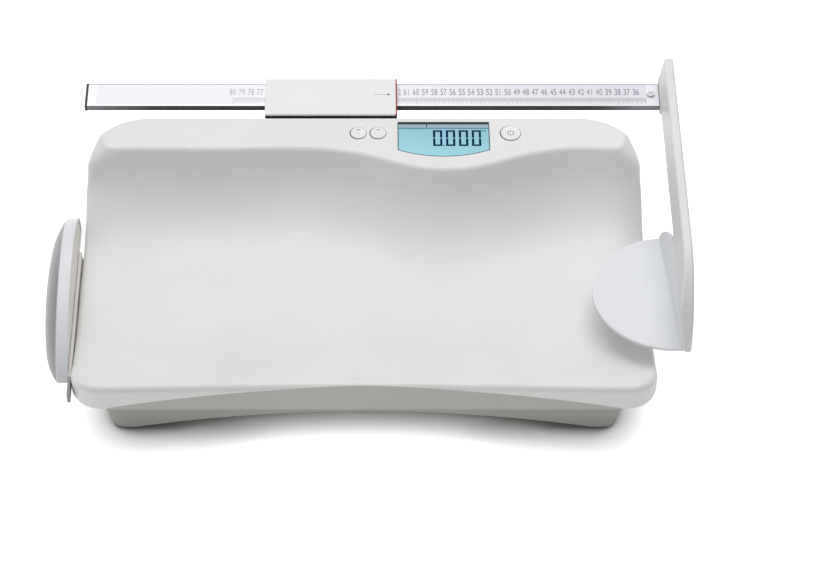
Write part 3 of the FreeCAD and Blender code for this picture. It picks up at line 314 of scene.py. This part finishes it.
class ScaleFinish(bpy.types.PropertyGroup):
    """Colours of the visible pieces."""
    tray: colour_of("Tray", "Weighing tray and console", "#EAEAE9")
    stops: colour_of("Stops", "Head stop and foot stop", "#E4E6E9")
    arm: colour_of("Arm", "Arm that carries the foot stop", "#E6E6E5")
    base: colour_of("Base", "Base housing", "#C6C4C0")
    # painted shade: the colour of the base's lower wall, under its crease
    base_low: colour_of("Base, low", "Lower wall of the base housing", "#A3A19C")
    sleeve: colour_of("Sleeve", "Lid of the guide sleeve", "#F0F0F1")
    # painted light: the rod's upper face and strip run from the lighter left colour to the greyer right one
    rail_left: colour_of("Rail, left", "Rod's upper face at its left end", "#FAFAFF")
    rail_right: colour_of("Rail, right", "Rod's upper face at its right end", "#DFE0E6")
    # painted reflection: this dark colour on the rod's front face stands in for a dark reflection
    rail_side: colour_of("Rail side", "Dark inlay along the rod's front", "#2C2A2B")
    ink: colour_of("Ink", "Printed figures and ticks on the rod", "#7E7F92")
    line: colour_of("Reading line", "Line at the sleeve's end", "#8F3032")
    glass_top: colour_of("Display, upper", "Display glass near its top", "#93C3D3")
    glass_low: colour_of("Display, lower", "Display glass near its lower edge", "#A6E2F0")
    segments: colour_of("Segments", "Figures on the display", "#003452")


class ScaleMarks(bpy.types.PropertyGroup):
    """Sizes of the printed and displayed marks."""
    reading: StringProperty(name="Reading", description="Figures on the display", default="0.000")
    figure_height: length_of("Figure height", "Height of a figure on the display", 24.0)
    figure_width: length_of("Figure width", "Width of a figure on the display", 10.0)
    figure_pitch: length_of("Figure pitch", "Distance between figures on the display", 13.9)
    segment: length_of("Segment width", "Width of a display segment", 2.5)
    numeral_height: length_of("Numeral height", "Height of the numbers on the rod", 9.6)
    tick: length_of("Tick width", "Width of the rod's ticks", 0.28)
    # the ring round a button is painted shade of the groove round its cap
    ring: length_of("Button ring", "Width of the dark ring round a button", 0.6)
    print_depth: length_of("Print depth", "Thickness of printed marks", 0.04)


class ScaleStudio(bpy.types.PropertyGroup):
    """The room in which the scale stands."""
    overhead: FloatProperty(name="Overhead lamp", description="Power of the soft box above",
                            default=34.0, min=0.0, subtype="POWER")
    sky: FloatProperty(name="Room light", description="Light from all sides", default=0.46, min=0.0)
    floor: colour_of("Floor", "Paper under the scale", "#F4F4F4")
    floor_lift: FloatProperty(name="Floor lift", default=0.75, min=0.0,
                              description="Added to the paper's white, less close to the scale")
    bounce: FloatProperty(name="Bounce", default=0.22, min=0.0, max=1.0, subtype="FACTOR",
                          description="Share of the floor's lift that lights the scale from below")
    shadow: length_of("Shadow reach", "How far from the scale the paper stays darker", 36.0)
    contact: length_of("Contact reach", "How far from the scale the paper is nearly black", 22.0)


# ---- pieces ----
class SCALE_OT_tray(bpy.types.Operator):
    """Finish the weighing tray and the console's cover"""
    bl_idname = "baby_scale.tray"
    bl_label = "Weighing tray"

    def execute(self, context):
        finish = context.scene.scale_finish
        # satin ABS from a finely spark-eroded mould: soft, wide highlights and no grain at a step away
        # painted shade darkens the tray where its surface turns away from the eye
        dress("weighing_tray", moulded("satin_abs_tray", tuple(finish.tray), *SATIN, painted_edge_shade=0.6))
        # plain grey ABS of an inner cover: flatter and rougher than what shows
        dress("console_cover", moulded("plain_abs_cover", linear("#9A9996"), 0.6, 1.0 * MM, 0.02 * MM))
        return {"FINISHED"}


class SCALE_OT_base(bpy.types.Operator):
    """Finish the base, its feet and the battery door"""
    bl_idname = "baby_scale.base"
    bl_label = "Base and feet"

    def execute(self, context):
        finish = context.scene.scale_finish
        # textured ABS: a coarse leather-like mould grain that scatters the light
        # painted shade: under the crease, where the wall turns in and faces the floor, it is painted darker;
        # painted shade also darkens it near other pieces
        base = moulded("textured_abs_base", tuple(finish.base), 0.62, 1.2 * MM, 0.03 * MM, 0.94,
                       zone=(CREASE, -107 * MM, -105 * MM, tuple(finish.base_low)),
                       painted_shade_reach=16 * MM)
        for node in ("base_housing", "battery_door"):
            dress(node, base)
        # nitrile rubber: black, dull and faintly dusty
        dress("rubber_feet", moulded("nitrile_rubber", linear("#1D1D1E"), 0.85, 0.8 * MM, 0.03 * MM, 0.8))
        return {"FINISHED"}


class SCALE_OT_stops(bpy.types.Operator):
    """Finish the head stop, the foot stop and the arm"""
    bl_idname = "baby_scale.stops"
    bl_label = "Stops and arm"

    def execute(self, context):
        finish = context.scene.scale_finish
        # polished-mould ABS in a cooler white than the tray's: a tighter highlight along the rims
        # painted shade where the foot stop turns away from the eye
        dress("foot_stop", moulded("cool_abs_stops", tuple(finish.stops), *POLISHED, painted_edge_shade=0.3))
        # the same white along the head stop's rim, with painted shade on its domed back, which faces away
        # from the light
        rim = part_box("head_stop")[1].x - 11.5 * MM
        dress("head_stop", moulded("cool_abs_dome_painted_shade", tuple(finish.stops), *POLISHED,
                                   zone=(RIGHT, rim - 1.6 * MM, rim, linear("#8C8D90"))))
        # the tray's satin again, with painted shade along the arm's inner side, where it turns away from the
        # eye
        dress("foot_arm", moulded("satin_abs_arm", tuple(finish.arm), *SATIN, painted_edge_shade=0.9))
        # powder-coated steel: an orange-peel skin over a grey primer
        dress("rod_bracket", moulded("powder_coated_steel", linear("#A9ABAD"), *COATED, 0.93))
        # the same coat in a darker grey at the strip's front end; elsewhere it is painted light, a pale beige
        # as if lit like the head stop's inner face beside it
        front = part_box("head_stop_clip")[0].y + 22 * MM
        dress("head_stop_clip", moulded("powder_coated_clip_painted_light", linear("#E4E1DC"), *COATED,
                                        zone=(BACK, front, front + 2 * MM, linear("#929394"))))
        return {"FINISHED"}


class SCALE_OT_head_pad(bpy.types.Operator):
    """Line the head stop's dish with a pad"""
    bl_idname = "baby_scale.head_pad"
    bl_label = "Head pad"

    def execute(self, context):
        low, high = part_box("head_stop")
        # the dish's opening: half its width, its height, its lean to the rear and its flat foot
        half, rise, skew, floor = 102.2 * MM, 58.6 * MM, 0.2, 6.4 * MM
        middle_y, foot_z = low.y + 107.0 * MM, low.z
        thick, bevel, face = 2.4 * MM, 1.0 * MM, high.x - 0.7 * MM
        # closed-cell foam with a smooth skin: warm, matt and faintly pitted
        foam = moulded("smooth_skin_foam", linear("#F1EEE9"), 0.7, 1.4 * MM, 0.02 * MM, 0.95)
        shape, steps = bmesh.new(), 48
        first = math.asin(floor / rise)
        angles = [first + (math.pi - 2 * first) * n / steps for n in range(steps + 1)]
        rings = []
        for x, shrink in ((face - thick, 0.0), (high.x - 1.5 * MM, 0.0), (face, bevel)):
            ring = []
            for angle in angles:
                up = (rise - shrink) * math.sin(angle)
                across = middle_y + (half - shrink) * math.cos(angle) + skew * up
                ring.append(shape.verts.new((x, across, foot_z + max(up, floor + shrink))))
            rings.append(ring)
        skin(shape, rings)
        piece("head_stop_pad", shape, foam, "scale")
        return {"FINISHED"}


class SCALE_OT_arm_nose(bpy.types.Operator):
    """Fill the arm's front end, round the foot stop's upright, with a moulded nose"""
    bl_idname = "baby_scale.arm_nose"
    bl_label = "Arm nose"

    def execute(self, context):
        low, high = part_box("foot_arm")
        finish = context.scene.scale_finish
        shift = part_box("weighing_tray")[1].y - 170 * MM         # from measures about the tray's middle
        web, round_x, edge = high.x - 3.55 * MM, high.x - 3.0 * MM, 3.0 * MM
        start, tall, levels, corner = 3.4 * MM, 45.4 * MM, 20, 5
        # quarter ellipses, height and depth: the arm's front edge and the seat behind the nose
        front_tall, front_deep, front_y = 83 * MM, 81.95 * MM, shift - 45 * MM
        seat_tall, seat_deep, seat_y = 43.6 * MM, 77.4 * MM, shift - 48.0 * MM
        widest = 26 * MM
        # the upright's inner face: its clearance there, and its lean with height and with depth
        clear, by_height, by_depth, slope = 4.15 * MM, 0.1584, 0.0822, 0.9966
        plane_x, plane_y, plane_z = high.x - 17.1 * MM, shift - 47.5 * MM, 106 * MM

        def seat(y, z):
            """How far right the nose reaches: to the web, or to its cut where the upright leans over it."""
            lean = (clear + by_height * (z - plane_z)) / slope - by_depth * (y - plane_y)
            return min(max(web, plane_x + lean), high.x - 0.25 * MM)

        shape, rings = bmesh.new(), []
        for n in range(levels + 1):
            z = low.z + start + n * (tall / levels)
            outer = front_y - front_deep * math.sqrt(1 - ((z - low.z) / front_tall) ** 2)
            rest = min(1.0, (z - low.z - 3 * MM) / seat_tall)
            inner = min(seat_y - seat_deep * math.sqrt(1 - rest ** 2), outer + widest)
            side = high.x - (10.6 + 4.0 * n / levels) * MM
            r = min(3.0 * MM, 0.9 * (inner - outer))
            arc = circle(side + r, outer + r, r, 180, 270, corner)
            reach = seat(outer, z)
            past = [max(0.0, round_x + (reach - round_x) * share - round_x) for share in (0.0, 0.5, 0.8, 1.0)]
            rounded = [(min(round_x, reach) + p, outer + edge - math.sqrt(edge * edge - p * p)) for p in past]
            ring = [(side, inner)] + arc + rounded + [(seat(inner, z), inner)]
            rings.append([shape.verts.new((x, y, z)) for x, y in ring])
        skin(shape, rings)
        for face in shape.faces:
            face.smooth = True
        # the arm's own satin ABS, so that the two read as one moulding, with the arm's painted shade where it
        # turns away from the eye
        satin = moulded("satin_abs_nose", tuple(finish.arm), *SATIN, painted_edge_shade=0.9)
        piece("arm_nose", shape, satin, "rod")
        return {"FINISHED"}


class SCALE_OT_rail(bpy.types.Operator):
    """Finish the rod and its strip"""
    bl_idname = "baby_scale.rail"
    bl_label = "Measuring rail"

    def execute(self, context):
        finish = context.scene.scale_finish
        low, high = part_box("measuring_rail")
        left, right, side = tuple(finish.rail_left), tuple(finish.rail_right), tuple(finish.rail_side)
        fade_from, line_wide = -50 * MM, 0.5 * MM

        # clear-anodised aluminium extrusion: pale, with fine die lines along it; painted light makes its top
        # lighter to the left and greyer to the right, painted shade draws a thin line along its rear chamfer,
        # and a painted dark reflection covers its front face, lighter towards both ends
        made, tree, at = blank("anodised_aluminium_rail")
        along, across = split_by(tree, at, "X"), split_by(tree, at, "Y")
        stretch = (0.02, 1.0, 1.0)
        drawn = add(tree, "ShaderNodeMapping", None, {"Vector": at, "Scale": stretch}).outputs["Vector"]
        lines = noise(tree, drawn, line_wide, 3.0)
        pale = mixed(tree, ramp(tree, along, fade_from, high.x), left, right)
        # painted shade of the rear chamfer: a thin greyer line along the top's rear edge
        edge = ramp(tree, across, high.y - 2.2 * MM, high.y - 2.0 * MM)
        pale = mixed(tree, edge, pale, linear("#ADAEBA"))
        # painted reflection: the front face is dark, lighter towards both ends
        fade_left = ramp(tree, along, low.x, low.x + 75 * MM, 1.0, 0.0)
        fade_right = ramp(tree, along, high.x - 66 * MM, high.x - 20 * MM)
        dark = mixed(tree, larger(tree, fade_left, fade_right), side, linear("#85858A"))
        front = ramp(tree, across, low.y + 0.3 * MM, low.y + 0.55 * MM)
        surface(tree, {
            "Base Color": mixed(tree, front, dark, pale),
            "Metallic": ramp(tree, front, 0.0, 1.0, 0.0, 0.25),
            "Roughness": ramp(tree, lines, 0.3, 0.7, 0.34, 0.46),
            "Normal": grain(tree, drawn, line_wide, 0.002 * MM),
        })
        dress("measuring_rail", made)

        # printed polyester film: white with a satin varnish, and the rod's painted light, lighter to the left
        # and greyer to the right
        made, tree, at = blank("printed_polyester_strip")
        along = split_by(tree, at, "X")
        surface(tree, {
            "Base Color": mixed(tree, ramp(tree, along, fade_from, high.x), left, right),
            "Roughness": ramp(tree, noise(tree, at, 3 * MM), 0.3, 0.7, 0.28, 0.36),
            "Coat Weight": 0.3,
            "Coat Roughness": 0.15,
            "Normal": grain(tree, at, 0.8 * MM, 0.001 * MM),
        })
        dress("scale_strip", made)
        return {"FINISHED"}


class SCALE_OT_rail_print(bpy.types.Operator):
    """Print the centimetre numbers and the millimetre ticks on the rod's strip"""
    bl_idname = "baby_scale.rail_print"
    bl_label = "Numbers and ticks"

    def execute(self, context):
        marks = context.scene.scale_marks
        finish = context.scene.scale_finish
        # screen-printed ink: a thin dull film on the varnish
        ink = moulded("screen_ink_grey", tuple(finish.ink), *INK,
                      zone=(RIGHT, -150 * MM, 120 * MM, linear("#B9B9C6")))
        pale_ink = moulded("screen_ink_lavender", linear("#A7A6BC"), *INK)
        low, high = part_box("scale_strip")
        base, top = high.z, high.z + marks.print_depth
        first, line_y, text_y = high.x - 0.4 * MM, low.y + 9.35 * MM, low.y + 14.4 * MM
        smallest, largest = 35, 80
        last_mm = (largest - smallest) * 10

        numbers, ticks, line = bmesh.new(), bmesh.new(), bmesh.new()
        pitch, width = 3.7 * MM, 3.1 * MM
        words = [(str(value), first - (value - smallest) * 10 * MM - pitch, text_y)
                 for value in range(smallest + 1, largest + 1)]
        write(numbers, words, base, marks.numeral_height, pitch, width, marks.print_depth)
        half = marks.tick / 2
        for step in range(last_mm + 1):
            reach = (9.0 if step % 10 == 0 else 7.2 if step % 5 == 0 else 5.2) * MM
            x = first - step * MM
            bar(ticks, x - half, x + half, line_y - reach, line_y - 0.4 * MM, base, top)
        bar(line, first - last_mm * MM - half, first + half, line_y - 0.2 * MM, line_y + 0.25 * MM, base, top)
        piece("rail_numbers", numbers, ink, "rod")
        piece("rail_ticks", ticks, ink, "rod")
        piece("rail_line", line, pale_ink, "rod")
        return {"FINISHED"}


class SCALE_OT_sleeve(bpy.types.Operator):
    """Finish the guide sleeve's lid and pads, and the reading line"""
    bl_idname = "baby_scale.sleeve"
    bl_label = "Guide sleeve"

    def execute(self, context):
        finish = context.scene.scale_finish
        marks = context.scene.scale_marks
        # satin ABS a shade whiter than the tray's, so that the sleeve stands off the console
        dress("sleeve_lid", moulded("satin_abs_lid", tuple(finish.sleeve), *LID, 0.97))
        # tinted ABS insert: an even strong red
        dress("reading_line", moulded("red_abs_line", tuple(finish.line), *LID))
        # acetal: waxy, slightly translucent white that slides without grease
        dress("glide_pads", moulded("acetal_pads", linear("#EDEDE8"), 0.35, 1.0 * MM, 0.004 * MM))
        low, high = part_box("sleeve_lid")
        y, tip, top = low.y + 31.0 * MM, high.x - 5.0 * MM, high.z + marks.print_depth
        neck, half = tip - 4 * MM, 1.8 * MM
        shape = bmesh.new()
        bar(shape, tip - 19 * MM, neck, y - 0.25 * MM, y + 0.25 * MM, high.z, top)
        prism(shape, [(neck, y - half), (tip, y), (neck, y + half)], high.z, top)
        piece("sleeve_arrow", shape, moulded("screen_ink_arrow", linear("#7C7D80"), *INK), "scale")
        return {"FINISHED"}


class SCALE_OT_display(bpy.types.Operator):
    """Finish the display's window and light its figures"""
    bl_idname = "baby_scale.display"
    bl_label = "Display"

    def execute(self, context):
        finish = context.scene.scale_finish
        marks = context.scene.scale_marks
        low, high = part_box("display_window")
        black_edge, strip_edge, rule_edge = 3.8 * MM, 9.0 * MM, 10.4 * MM

        # anti-glare acrylic over a liquid-crystal display: a bright blue-green field, weakly reflecting
        made, tree, at = blank("acrylic_over_display")
        along, across = split_by(tree, at, "X"), split_by(tree, at, "Y")
        upper, lower = tuple(finish.glass_top), tuple(finish.glass_low)
        shown = mixed(tree, ramp(tree, across, low.y, high.y), lower, upper)
        shown = mixed(tree, ramp(tree, along, low.x, high.x, 0.0, 0.35), shown, upper)
        hair = 0.05 * MM
        for depth, colour in ((rule_edge, "#42768E"), (strip_edge, "#9BB7C3"), (black_edge, "#0C1A22")):
            beyond = ramp(tree, across, high.y - depth, high.y - depth + hair)
            shown = mixed(tree, beyond, shown, linear(colour))
        surface(tree, {
            "Base Color": shown,
            "Roughness": ramp(tree, noise(tree, at, 4 * MM), 0.3, 0.7, 0.22, 0.28),
            "IOR": 1.49,
            "Specular IOR Level": 0.3,
            "Normal": grain(tree, at, 2 * MM, 0.0005 * MM),
        })
        dress("display_window", made)

        # liquid crystal turned dark: deep blue, as flat as the glass
        segments = moulded("dark_liquid_crystal", tuple(finish.segments), 0.3, 1.0 * MM, 0.0005 * MM, 0.9,
                           gloss=0.0)
        base, top = high.z, high.z + marks.print_depth
        wide, tall, width = marks.figure_width, marks.figure_height, marks.segment
        start, foot = low.x + 38.0 * MM, high.y - 36.6 * MM
        figures = bmesh.new()
        gap, split, half = 0.1 * MM, 0.5 * MM, tall / 2
        level = (width + gap, wide - width - gap)
        places = {"a": level + (tall - width, tall), "d": level + (0.0, width),
                  "g": level + (half - width / 2, half + width / 2),
                  "b": (wide - width, wide, half + split, tall), "c": (wide - width, wide, 0.0, half - split),
                  "f": (0.0, width, half + split, tall), "e": (0.0, width, 0.0, half - split)}
        column, dot = 0, 1.6 * MM
        for character in marks.reading:
            x = start + column * marks.figure_pitch
            if character == ".":
                bar(figures, x - 3.0 * MM, x - 1.4 * MM, foot, foot + dot, base, top)
                continue
            column += 1
            for segment in LIT[character]:
                x0, x1, y0, y1 = places[segment]
                bar(figures, x + x0, x + x1, foot + y0, foot + y1, base, top)
        piece("display_figures", figures, segments, "scale")

        small, letter = bmesh.new(), 2.6 * MM
        unit = [("kg", high.x - 8.6 * MM, high.y - 14.6 * MM)]
        write(small, unit, base, letter, letter, 2.0 * MM, marks.print_depth)
        divider = low.x + 31.3 * MM
        bar(small, divider - 0.5 * MM, divider + 0.5 * MM, high.y - 8.0 * MM, high.y - 3.4 * MM, base, top)
        piece("display_marks", small, segments, "scale")

        # painted shade of the gap round the window: a thin dark line round its bowed front
        edge = moulded("painted_gap_shade_blue", linear("#33566A"), 0.4, 1.0 * MM, 0.0005 * MM)
        x0, x1, side, nose = low.x, high.x, high.y - 42.6 * MM, low.y
        sag, chord = side - nose, (x1 - x0) / 2
        radius = (chord * chord + sag * sag) / (2 * sag)
        spread = math.degrees(math.asin(chord / radius))
        line = 1.0 * MM
        outer, inner = [circle((x0 + x1) / 2, nose + radius, r, 270 - spread, 270 + spread, 40)
                        for r in (radius, radius - line)]
        inner[0], inner[-1] = (x0 + line, inner[0][1]), (x1 - line, inner[-1][1])
        outer = [(x0, high.y)] + outer + [(x1, high.y)]
        inner = [(x0 + line, high.y)] + inner + [(x1 - line, high.y)]
        rim = bmesh.new()
        band(rim, inner, outer, base, top, False)
        piece("window_edge", rim, edge, "scale")
        return {"FINISHED"}


class SCALE_OT_buttons(bpy.types.Operator):
    """Finish the three buttons with their rings and marks"""
    bl_idname = "baby_scale.buttons"
    bl_label = "Buttons"

    def execute(self, context):
        marks = context.scene.scale_marks
        # satin ABS caps, a touch glossier than the tray from being pressed
        caps = moulded("satin_abs_caps", linear("#EFEFEE"), 0.36, 0.6 * MM, 0.003 * MM)
        # screen-printed ink, dull and dark; the groove round a cap gets painted shade, a thin black ring
        ink = moulded("screen_ink_dark", linear("#4C4E52"), *INK)
        groove = moulded("painted_ring_shade", linear("#3C3D40"), 0.7, 0.5 * MM, 0.001 * MM)
        flange, dished, printed, aside = 1.4 * MM, 0.46 * MM, 0.08 * MM, 0.35 * MM
        console_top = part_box("display_window")[1].z
        rings = bmesh.new()
        for node, mark in MARK_OF_BUTTON.items():
            dress(node, caps)
            low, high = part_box(node)
            x, y = (low.x + high.x) / 2, (low.y + high.y) / 2
            cap = (high.x - low.x) / 2 - flange
            # the painted shade ring is widest towards the front left, where the groove lies deepest in shade
            inner = circle(x, y, cap + 0.08 * MM)
            outer = circle(x - aside, y - aside, cap + marks.ring)
            band(rings, inner, outer, console_top, console_top + marks.print_depth, True)
            shape = bmesh.new()
            base = high.z - dished
            top = base + printed
            if mark != "power":
                lift = 0.22 * MM
                bar(shape, x - 2.6 * MM, x + 2.6 * MM, y + 4.1 * MM, y + 4.8 * MM, base + lift, top + lift)
                if mark == "dash and dot":
                    prism(shape, circle(x, y - 1.0 * MM, 0.5 * MM, 0, 360, 12), base, top)
            else:
                ring = circle(x, y, 3.0 * MM, 120, 420), circle(x, y, 3.7 * MM, 120, 420)
                band(shape, ring[0], ring[1], base, top, False)
                bar(shape, x - 0.35 * MM, x + 0.35 * MM, y + 0.6 * MM, y + 4.4 * MM, base, top)
            piece(node.replace("_button", "_mark"), shape, ink, node)
        piece("button_ring_shade", rings, groove, "scale")
        return {"FINISHED"}


class SCALE_OT_inner(bpy.types.Operator):
    """Finish the works inside: load cell, carrier, board, batteries and fasteners"""
    bl_idname = "baby_scale.inner"
    bl_label = "Inner works"

    def execute(self, context):
        # black ABS: deep black with a satin skin
        black = moulded("black_abs", linear("#1B1B1C"), 0.45, 0.6 * MM, 0.004 * MM, 0.85)
        for node in ("display_holder", "tact_switches", "power_socket", "guide_sleeve", "rail_end_cap",
                     "battery_box"):
            dress(node, black)
        # cold-rolled sheet steel, zinc plated: rolling lines and a faint blue bloom
        sheet = metal("zinc_plated_sheet", linear("#B9BBBE"), 0.42, (0.08, 1.0, 1.0), 0.8 * MM, 0.004 * MM)
        for node in ("floor_plate", "cell_spacer_lower", "cell_spacer_upper", "tray_carrier",
                     "overload_stops"):
            dress(node, sheet)
        # zinc-plated fasteners: brighter, with round machining marks too fine to be seen one by one
        zinc = metal("zinc_plated_screws", linear("#C9CACB"), 0.3, (1.0, 1.0, 1.0), 0.4 * MM, 0.002 * MM)
        for node in ("console_screws", "floor_plate_screws", "load_cell_bolts", "tray_screws",
                     "bracket_screws", "sleeve_screws", "rail_screw", "foot_stop_screws",
                     "head_stop_screws"):
            dress(node, zinc)
        # milled aluminium bar: cutter lines across it
        cell = metal("milled_aluminium", linear("#D2D3D6"), 0.34, (1.0, 0.05, 1.0), 0.6 * MM, 0.004 * MM)
        dress("load_cell", cell)
        # nickel-plated spring steel: bright and smooth
        nickel = metal("nickel_plate", linear("#D8D5CC"), 0.2, (1.0, 1.0, 1.0), 1.0 * MM, 0.001 * MM)
        dress("battery_contacts", nickel)
        # cells in a plain shrink sleeve: glossy, dark, with a pale band at one end
        low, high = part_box("batteries")
        made, tree, at = blank("shrink_sleeve_cells")
        along = split_by(tree, at, "X")
        share = add(tree, "ShaderNodeMath", {"operation": "FRACT"},
                    {0: ramp(tree, along, low.x, high.x, 0.0, 1.999)}).outputs[0]
        bands = ramp(tree, share, 0.78, 0.79)
        surface(tree, {
            "Base Color": mixed(tree, bands, linear("#2B3138"), linear("#C9A86A")),
            "Roughness": ramp(tree, noise(tree, at, 5 * MM), 0.3, 0.7, 0.22, 0.3),
            "Coat Weight": 0.5,
        })
        dress("batteries", made)
        # glass-fibre board under green solder mask, its traces a shade lighter
        made, tree, at = blank("solder_masked_board")
        traces = add(tree, "ShaderNodeTexBrick", {"offset": 0.5},
                     {"Vector": at, "Color1": linear("#1F5C38"), "Color2": linear("#1A5232"),
                      "Mortar": linear("#3C8256"), "Scale": 1.0, "Mortar Size": 0.35 * MM,
                      "Brick Width": 9 * MM, "Row Height": 2.4 * MM}).outputs["Color"]
        surface(tree, {
            "Base Color": traces,
            "Roughness": ramp(tree, noise(tree, at, 3 * MM), 0.3, 0.7, 0.3, 0.42),
            "Normal": grain(tree, at, 0.8 * MM, 0.006 * MM),
        })
        dress("main_circuit_board", made)
        # display glass: dark polished glass with a green-grey cast
        glass = moulded("display_glass", linear("#6E8F95"), 0.08, 2.0 * MM, 0.0002 * MM, 0.97, coat=0.6)
        dress("display_glass", glass)
        return {"FINISHED"}


# ---- the studio ----
def seen_directly(tree):
    """1 for rays that show the backdrop: from the camera, in gloss and through glass."""
    path = add(tree, "ShaderNodeLightPath")
    first = larger(tree, path.outputs["Is Camera Ray"], path.outputs["Is Glossy Ray"])
    return larger(tree, first, path.outputs["Is Transmission Ray"])


class SCALE_OT_studio(bpy.types.Operator):
    """Set up the floor, the light and the camera"""
    bl_idname = "baby_scale.studio"
    bl_label = "Studio"

    def execute(self, context):
        scene = context.scene
        studio = scene.scale_studio
        scene.view_settings.view_transform = "Standard"

        world = bpy.data.worlds.new("studio")
        world.use_nodes = True
        tree = world.node_tree
        tree.nodes.clear()
        white = linear("#FFFFFF")
        # the room is open to the left and darker to the right
        way = add(tree, "ShaderNodeTexCoord").outputs["Generated"]
        strength = ramp(tree, split_by(tree, way, "X"), -1.0, 1.0, 1.4 * studio.sky, 0.5 * studio.sky)
        room = add(tree, "ShaderNodeBackground", None, {"Color": white, "Strength": strength})
        paper = add(tree, "ShaderNodeBackground", None, {"Color": white, "Strength": 1.0})
        both = add(tree, "ShaderNodeMixShader", None,
                   {0: seen_directly(tree), 1: room.outputs[0], 2: paper.outputs[0]})
        add(tree, "ShaderNodeOutputWorld", None, {"Surface": both.outputs[0]})
        scene.world = world

        # matt background paper: it takes the lamp's shadow and stays white to the eye, with painted shadow
        # close to the scale
        floor_paper = bpy.data.materials.new("background_paper")
        floor_paper.use_nodes = True
        tree = floor_paper.node_tree
        tree.nodes.clear()
        # painted contact shadow: close under the scale the paper's colour goes nearly black
        touching = ramp(tree, occlusion(tree, studio.contact, 8), 0.3, 0.6)
        shade = mixed(tree, touching, times(studio.floor, 0.12), tuple(studio.floor))
        diffuse = add(tree, "ShaderNodeBsdfDiffuse", None, {"Color": shade})
        # painted shadow: the glow that keeps the paper white fades close to the scale
        near = occlusion(tree, studio.shadow, 12)
        lift = ramp(tree, near, 0.4, 1.0, 0.04 * studio.floor_lift, studio.floor_lift)
        share = ramp(tree, seen_directly(tree), 0.0, 1.0, studio.bounce, 1.0)
        lift = add(tree, "ShaderNodeMath", {"operation": "MULTIPLY"}, {0: share, 1: lift}).outputs[0]
        glow = add(tree, "ShaderNodeEmission", None, {"Color": white, "Strength": lift})
        total = add(tree, "ShaderNodeAddShader", None, {0: diffuse.outputs[0], 1: glow.outputs[0]})
        add(tree, "ShaderNodeOutputMaterial", None, {"Surface": total.outputs[0]})
        shape = bmesh.new()
        bmesh.ops.create_grid(shape, x_segments=8, y_segments=8, size=6.0)
        mesh = bpy.data.meshes.new("studio_floor")
        shape.to_mesh(mesh)
        shape.free()
        mesh.materials.append(floor_paper)
        floor = bpy.data.objects.new("studio_floor", mesh)
        scene.collection.objects.link(floor)

        lamp = bpy.data.lights.new("overhead_softbox", "AREA")
        lamp.shape = "RECTANGLE"
        lamp.size, lamp.size_y = 2.6, 1.8
        lamp.energy = studio.overhead
        softbox = bpy.data.objects.new("overhead_softbox", lamp)
        softbox.location = (0.1, 0.85, 2.3)
        aim = Vector((0.0, 0.0, 0.1)) - softbox.location
        softbox.rotation_euler = aim.to_track_quat("-Z", "Y").to_euler()
        scene.collection.objects.link(softbox)

        # measures of the view in pixels: its width, where its axis lies in it, and the focal length
        width, axis_x, focal = 836.0, 364.0, 2850.0
        sensor = 36.0
        rear_half, back, up, tilt = 0.17, 2.03619, 2.31563, 42.0
        low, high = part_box("weighing_tray")
        view = bpy.data.cameras.new("studio_camera")
        view.sensor_width = sensor
        view.lens = focal * sensor / width
        view.shift_x = (width / 2 - axis_x) / width
        camera = bpy.data.objects.new("studio_camera", view)
        camera.location = ((low.x + high.x) / 2, high.y - rear_half - back, up)
        camera.rotation_euler = (math.radians(tilt), 0.0, 0.0)
        scene.collection.objects.link(camera)
        scene.camera = camera
        return {"FINISHED"}


class SCALE_PT_panel(bpy.types.Panel):
    """Sidebar panel with the scale's settings and pieces"""
    bl_idname = "SCALE_PT_panel"
    bl_label = "Baby weighing scale"
    bl_space_type = "VIEW_3D"
    bl_region_type = "UI"
    bl_category = "Baby scale"

    def draw(self, context):
        for group in GROUPS:
            box = self.layout.box()
            for key in group.__annotations__:
                box.prop(getattr(context.scene, GROUPS[group]), key)
        for operator in STEPS:
            self.layout.operator(operator.bl_idname)


GROUPS = {ScaleFinish: "scale_finish", ScaleMarks: "scale_marks", ScaleStudio: "scale_studio"}
STEPS = (SCALE_OT_studio, SCALE_OT_tray, SCALE_OT_base, SCALE_OT_stops, SCALE_OT_head_pad,
         SCALE_OT_arm_nose, SCALE_OT_rail, SCALE_OT_rail_print, SCALE_OT_sleeve, SCALE_OT_display,
         SCALE_OT_buttons, SCALE_OT_inner)


def register():
    for group, name in GROUPS.items():
        bpy.utils.register_class(group)
        setattr(bpy.types.Scene, name, PointerProperty(type=group))
    for item in STEPS + (SCALE_PT_panel,):
        bpy.utils.register_class(item)


def unregister():
    for item in reversed(STEPS + (SCALE_PT_panel,)):
        bpy.utils.unregister_class(item)
    for group, name in GROUPS.items():
        delattr(bpy.types.Scene, name)
        bpy.utils.unregister_class(group)


def main():
    register()
    bpy.ops.baby_scale.studio()
    bpy.ops.baby_scale.tray()
    bpy.ops.baby_scale.base()
    bpy.ops.baby_scale.stops()
    bpy.ops.baby_scale.head_pad()
    bpy.ops.baby_scale.arm_nose()
    bpy.ops.baby_scale.rail()
    bpy.ops.baby_scale.rail_print()
    bpy.ops.baby_scale.sleeve()
    bpy.ops.baby_scale.display()
    bpy.ops.baby_scale.buttons()
    bpy.ops.baby_scale.inner()


if __name__ == "__main__":
    main()
